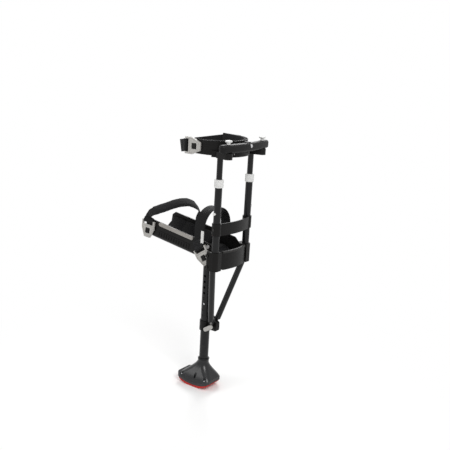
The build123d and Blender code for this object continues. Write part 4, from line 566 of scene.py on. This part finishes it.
def half_turn(centre, start, side, radius, steps=10):
    """Points on half a circle from start, turning towards side, about a centre."""
    points = []
    for k in range(steps + 1):
        angle = pi * k / steps
        points.append(centre + (start * cos(angle) + side * sin(angle)) * radius)
    return points


x_axis, y_axis, z_axis = Vector((1, 0, 0)), Vector((0, 1, 0)), Vector((0, 0, 1))
half_web, web_thick = 0.020, 0.0018
loop_r = 0.0042  # middle of the webbing, where it turns round a bar

# Thigh strap: round the back of the thigh in one run, folded back through the inner anchor
thigh_z = 0.8475
hook_x, anchor_x, bar_out = -0.035, 0.012, 0.1038
thigh_half, thigh_deep = 0.0998, 0.0650
tail_off = 0.0024  # from the strap's end to the run that it lies on
hook = Vector((hook_x, -bar_out, 0))
slope = radians(12)
strap_back, strap_up = Vector((-cos(slope), 0, -sin(slope))), Vector((-sin(slope), 0, cos(slope)))
rails = []


def add_upright(points, shares=None):
    """Stations whose width stands upright, or leans with the strap's slope by these shares."""
    for k, point in enumerate(points):
        way = z_axis.lerp(strap_up, shares[k] if shares else 0.0).normalized() * half_web
        middle = point + z_axis * thigh_z
        rails.append((middle - way, middle + way))


def round_thigh(angle, outside=0.0):
    """A point of the sloping arch behind the thigh, from its hook (0) to its inner side (pi)."""
    return (Vector((hook_x, -(thigh_half + outside) * cos(angle), 0))
            + strap_back * (thigh_deep + outside) * sin(angle))


add_upright([round_thigh(angle / 100, tail_off) for angle in range(84, 16, -8)],
            [1.0, 1.0, 1.0, 1.0, 0.85, 0.65, 0.4, 0.2, 0.1])
add_upright([Vector((-0.043, -0.1050, 0)), Vector((-0.039, -0.1072, 0))]
            + half_turn(hook, -y_axis, x_axis, loop_r))
angles = [pi * step / 60 for step in range(1, 61)]
add_upright([round_thigh(angle) for angle in angles],
            [min(1.0, angle / 0.4, (pi - angle) / 0.4) for angle in angles])
add_upright([Vector((x, thigh_half, 0)) for x in (-0.02, -0.005, 0.006)]
            + half_turn(Vector((anchor_x, bar_out, 0)), -y_axis, x_axis, loop_r)
            + [Vector((0.002, 0.1058, 0)), Vector((-0.012, 0.1035, 0)), Vector((-0.026, 0.1026, 0)),
               Vector((-0.040, 0.1021, 0))])
thigh_strap, run = ribbon("thigh_strap_web", rails, web_thick, (0.022, -0.022), ripple=0.0008)
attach(thigh_strap, "thigh_frame")
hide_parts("thigh_strap")

# Knee strap: from its hook low on the cup's outer side, over the knee, pinned inside
knee_bar = Vector((0.017, -0.0753, 0.511))
knee_along = Vector((cos(radians(-55)), 0, sin(radians(-55))))
knee_side = Vector((0.819, 0, 0.574))


def on_hook(bar, along, side, u, v, n):
    """A point by a hook's bar: so far along the hook, along the bar and out from the bar."""
    return bar + along * u + side * v - y_axis * n


def at_hook(bar, along, side, places):
    """Stations of webbing by a hook's bar, at places along the hook and out from the bar."""
    return [(on_hook(bar, along, side, u, -half_web, n), on_hook(bar, along, side, u, half_web, n))
            for u, n in places]


loop = [(point.x, point.z) for point in half_turn(Vector((0, 0, 0)), z_axis, x_axis, loop_r, 8)]
rails = at_hook(knee_bar, knee_along, knee_side, [
    (-0.030, -0.0014), (-0.022, -0.0014), (-0.014, -0.0010), (-0.007, 0.0014), (-0.003, 0.0036)]
    + loop)
wall, rear_x, front_x = -0.0713, -0.010, 0.030
foot_z, spring_z, rise = 0.540, 0.575, 0.064
for share in (0.25, 0.5, 0.75, 1.0):
    rails.append((Vector((0.0006, wall, 0.4995)).lerp(Vector((rear_x, wall, foot_z)), share),
                  Vector((0.0334, wall, 0.5225)).lerp(Vector((front_x, wall, foot_z)), share)))
rails += [(Vector((rear_x, wall, z)), Vector((front_x, wall, z))) for z in (0.552, 0.564, spring_z)]
for step in range(1, 41):
    angle = pi * step / 40
    y, z = wall * cos(angle), spring_z + rise * sin(angle)
    rails.append((Vector((rear_x, y, z)), Vector((front_x, y, z))))
rails += [(Vector((rear_x, -wall, z)), Vector((front_x, -wall, z)))
          for z in (0.560, 0.545, 0.530, 0.513)]
knee_strap, run = ribbon("knee_strap_web", rails, web_thick, (0.014, -0.040), ripple=0.0007)
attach(knee_strap, "frame")
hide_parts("knee_strap")

# Ankle strap: askew over the shin, twisting from each wall's plane into the arch's
ankle_bar = Vector((-0.207, -0.0753, 0.562))
ankle_along = Vector((cos(radians(-95)), 0, sin(radians(-95))))
ankle_side = Vector((0.996, 0, -0.087))
skew = radians(36)
across, width_way = Vector((sin(skew), cos(skew), 0)), Vector((cos(skew), -sin(skew), 0))
arch_middle, arch_half = Vector((-0.1535, 0.00125, 0.588)), 0.08968
lean = radians(24)
arch_up = width_way * sin(lean) + z_axis * cos(lean)
lean_width = width_way * cos(lean) - z_axis * sin(lean)
arch_points = [(share * arch_half, rise) for share, rise in (
    (-1, 0), (-0.89, 0.008), (-0.67, 0.017), (-0.42, 0.027), (-0.17, 0.037), (0.11, 0.045),
    (0.39, 0.046), (0.67, 0.035), (0.87, 0.019), (1, 0))]


def on_arch(share):
    """A point of the smooth curve through the arch's points, by its share of them, and its way."""
    reach = share * (len(arch_points) - 1)
    first = min(int(reach), len(arch_points) - 2)
    t = reach - first
    a, b, c, d = (Vector(arch_points[min(max(k, 0), len(arch_points) - 1)])
                  for k in range(first - 1, first + 3))
    place = (b * 2 + (c - a) * t + (a * 2 - b * 5 + c * 4 - d) * t**2
             + (b * 3 - a - c * 3 + d) * t**3) / 2
    way = ((c - a) + (a * 2 - b * 5 + c * 4 - d) * 2 * t
           + (b * 3 - a - c * 3 + d) * 3 * t**2).normalized()
    return (arch_middle + across * place.x + arch_up * place.y,
            across * way.x + arch_up * way.y)


def twisted(low, low_way, high, high_way, steps):
    """Stations of webbing that turns as it climbs from one line to another."""
    stations = []
    for step in range(steps + 1):
        share = step / steps
        eased = share * share * (3 - 2 * share)
        way = low_way.lerp(high_way, eased).normalized() * half_web
        middle = low.lerp(high, eased)
        middle.z = low.z + (high.z - low.z) * share
        stations.append((middle - way, middle + way))
    return stations


rails = at_hook(ankle_bar, ankle_along, ankle_side,
                [(-0.013, -0.0012), (-0.008, 0.0010), (-0.003, 0.0036)] + loop)
rails += twisted(on_hook(ankle_bar, ankle_along, ankle_side, -0.010, 0, -0.004), ankle_side,
                 arch_middle - across * arch_half, lean_width, 8)
for step in range(1, 45):
    middle = on_arch(step / 45)[0]
    rails.append((middle - lean_width * half_web, middle + lean_width * half_web))
inner_wall = 0.0738
inner_top = arch_middle + across * arch_half
inner_low = Vector((inner_top.x, inner_wall, 0.562))
rails += reversed(twisted(inner_low, x_axis, inner_top, lean_width, 8))
rails += [(Vector((inner_low.x - half_web, inner_wall, z)),
           Vector((inner_low.x + half_web, inner_wall, z))) for z in (0.552, 0.540, 0.529)]
ankle_strap, run = ribbon("ankle_strap_web", rails, web_thick, (-0.022,), ripple=0.0005)
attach(ankle_strap, "frame")
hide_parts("ankle_strap")


# Padded pieces: thigh pad, knee pad, shin pad and ankle sleeve, in black knitted cloth over foam.
# The cloth is pulled over the foam and sewn shut. It swells a little under the foam's pressure,
# and draws in along its seams.

# Knit: a fine mesh of raised stitches, slowly mottled, on Object coordinates, with painted shade
# darkening the hollows between the stitches
knit_group, knit_in, knit_out = new_group(
    "knit",
    (("Scale", "NodeSocketFloat", 520.0), ("Colour", "NodeSocketColor", (0.03, 0.03, 0.03, 1))),
    (("Colour", "NodeSocketColor"), ("Height", "NodeSocketFloat"),
     ("Roughness", "NodeSocketFloat")))
knit_place = knit_group.nodes.new("ShaderNodeTexCoord").outputs["Object"]
knit_cells = knit_group.nodes.new("ShaderNodeTexVoronoi")
knit_group.links.new(knit_place, knit_cells.inputs["Vector"])
knit_group.links.new(knit_in.outputs["Scale"], knit_cells.inputs["Scale"])
knit_slow = noise_of(knit_group, knit_place, 30.0, 4.0, 0.6)
knit_height = maths(knit_group, "SUBTRACT", 1.0, knit_cells.outputs["Distance"], clamp=True)
# Painted shade: the hollows between the raised stitches are darkened towards black.
knit_hollow_shade = mixed(knit_group, 0.6, knit_in.outputs["Colour"], (0, 0, 0, 1))
knit_lit = mixed(knit_group, 0.006, knit_in.outputs["Colour"], (1, 1, 1, 1))
knit_shade = mixed(knit_group, knit_slow, knit_in.outputs["Colour"], knit_lit)
knit_group.links.new(mixed(knit_group, knit_height, knit_hollow_shade, knit_shade),
                     knit_out.inputs["Colour"])
knit_group.links.new(knit_height, knit_out.inputs["Height"])
knit_group.links.new(maths(knit_group, "MULTIPLY_ADD", knit_slow, 0.25, 0.62),
                     knit_out.inputs["Roughness"])

pad_cloth, pad_tree, pad_shader = shader_of("pad_cloth")
pad_knit = placed(pad_tree, knit_group, Scale=520.0, Colour=(0.0060, 0.0060, 0.0068, 1))
pad_tree.links.new(pad_knit.outputs["Colour"], pad_shader.inputs["Base Color"])
pad_tree.links.new(pad_knit.outputs["Roughness"], pad_shader.inputs["Roughness"])
pad_bump = pad_tree.nodes.new("ShaderNodeBump")
pad_bump.inputs["Strength"].default_value = 0.5
pad_bump.inputs["Distance"].default_value = 0.0006
pad_tree.links.new(pad_knit.outputs["Height"], pad_bump.inputs["Height"])
pad_tree.links.new(pad_bump.outputs["Normal"], pad_shader.inputs["Normal"])
pad_shader.inputs["Specular IOR Level"].default_value = 0.15
pad_shader.inputs["Sheen Weight"].default_value = 0.05
pad_shader.inputs["Sheen Roughness"].default_value = 0.45


def bake(piece):
    """Replaces a piece's mesh by what its modifiers make of it."""
    depsgraph = bpy.context.evaluated_depsgraph_get()
    fresh = bpy.data.meshes.new_from_object(piece.evaluated_get(depsgraph))
    old = piece.data
    piece.modifiers.clear()
    piece.data = fresh
    fresh.name = old.name
    bpy.data.meshes.remove(old)


def cushion(node, voxel, shrink, cap, seams=(), form=None):
    """A pad from its CAD solid or its own form: evened, shrunk, swollen by cloth pressure, sewn.

    No point moves further than cap from where the shrinking leaves it.
    """
    mesh = form or nodes[node].data.copy()
    mesh.name = node + "_cloth"
    bm = bmesh.new()
    bm.from_mesh(mesh)
    bmesh.ops.remove_doubles(bm, verts=bm.verts, dist=1e-6)
    bm.to_mesh(mesh)
    bm.free()
    mesh.materials.clear()
    mesh.materials.append(pad_cloth)
    piece = bpy.data.objects.new(node + "_cloth", mesh)
    bpy.context.scene.collection.objects.link(piece)
    bpy.context.view_layer.objects.active = piece
    remesh = piece.modifiers.new("even", "REMESH")
    remesh.mode = "VOXEL"
    remesh.voxel_size = voxel
    bake(piece)
    start = [v.co - v.normal * shrink for v in piece.data.vertices]
    for vert, place in zip(piece.data.vertices, start):
        vert.co = place
    cloth = piece.modifiers.new("swell", "CLOTH")
    cloth.settings.use_pressure = True
    cloth.settings.uniform_pressure_force = 4.0
    cloth.settings.effector_weights.gravity = 0.0
    cloth.settings.quality = 5
    last_frame = 20
    cloth.point_cache.frame_start, cloth.point_cache.frame_end = 1, last_frame
    for frame_number in range(1, last_frame + 1):
        bpy.context.scene.frame_set(frame_number)
    bake(piece)
    bpy.context.scene.frame_set(1)
    for vert, place in zip(piece.data.vertices, start):
        move = vert.co - place
        if move.length > cap:
            vert.co = place + move.normalized() * cap
    for seam in seams:
        for vert in piece.data.vertices:
            vert.co += seam(vert.co, vert.normal)
    smooth = piece.modifiers.new("smooth", "SUBSURF")
    smooth.levels = smooth.render_levels = 1
    for face in piece.data.polygons:
        face.use_smooth = True
    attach(piece, nodes[node]["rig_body"])
    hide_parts(node)


tilt, tray_z = radians(8.5), 0.4795
seam_places, seam_deep, seam_reach = (0.158, 0.094), 0.0022, 0.007


def shin_seam(place, out):
    """Draws the shin pad down along its two sewn lines."""
    along = place.x * cos(tilt) - (place.z - tray_z) * sin(tilt)
    near = min(abs(along + seam) for seam in seam_places)
    return Vector((0, 0, -seam_deep * max(0.0, 1 - near / seam_reach)))


cushion("shin_pad", 0.005, 0.0006, 0.002, seams=(shin_seam,))
cushion("knee_pad", 0.005, 0.0015, 0.006)
cushion("thigh_pad", 0.0045, 0.0010, 0.002)

# Ankle sleeve: a padded tube of the same cloth, drawn in where the webbing enters and leaves it
sleeve_half, sleeve_deep = 0.0255, 0.0040
first_share, last_share, rings = 0.115, 0.855, 32
sleeve_bm = bmesh.new()
ring = bmesh.ops.create_circle(sleeve_bm, cap_ends=True, segments=28, radius=1.0)["verts"]
edges = list(sleeve_bm.edges)
matrix = Matrix.Identity(4)
for step in range(rings + 1):
    share = first_share + (last_share - first_share) * step / rings
    place, way = on_arch(share)
    fullness = min(1.0, 0.35 + 0.32 * min(step, rings - step))
    wide = sleeve_half * (0.94 + 0.06 * fullness)
    deep = sleeve_deep * fullness
    target = Matrix((lean_width * wide, way.cross(lean_width) * deep, way)).transposed().to_4x4()
    target.translation = place
    if step:
        edges = [g for g in bmesh.ops.extrude_edge_only(sleeve_bm, edges=edges)["geom"]
                 if isinstance(g, bmesh.types.BMEdge) and len(g.link_faces) == 1]
        ring = list({vert for edge in edges for vert in edge.verts})
    bmesh.ops.transform(sleeve_bm, matrix=target @ matrix.inverted(), verts=ring)
    matrix = target
bmesh.ops.holes_fill(sleeve_bm, edges=edges)
bmesh.ops.recalc_face_normals(sleeve_bm, faces=sleeve_bm.faces)
sleeve_mesh = bpy.data.meshes.new("sleeve_form")
sleeve_bm.to_mesh(sleeve_mesh)
sleeve_bm.free()


line_off, line_deep, line_reach = 0.0185, 0.0012, 0.0028


def sleeve_seam(place, out):
    """Draws the sleeve in along a sewn line near each of its edges, and puckers it a little."""
    from_middle = (place - arch_middle).dot(lean_width)
    line = max(0.0, 1 - abs(abs(from_middle) - line_off) / line_reach)
    pucker = 0.0005 * noise.noise(place * 90.0)
    return out * (pucker - line_deep * line)


cushion("ankle_sleeve", 0.0025, 0.0002, 0.0010, seams=(sleeve_seam,), form=sleeve_mesh)
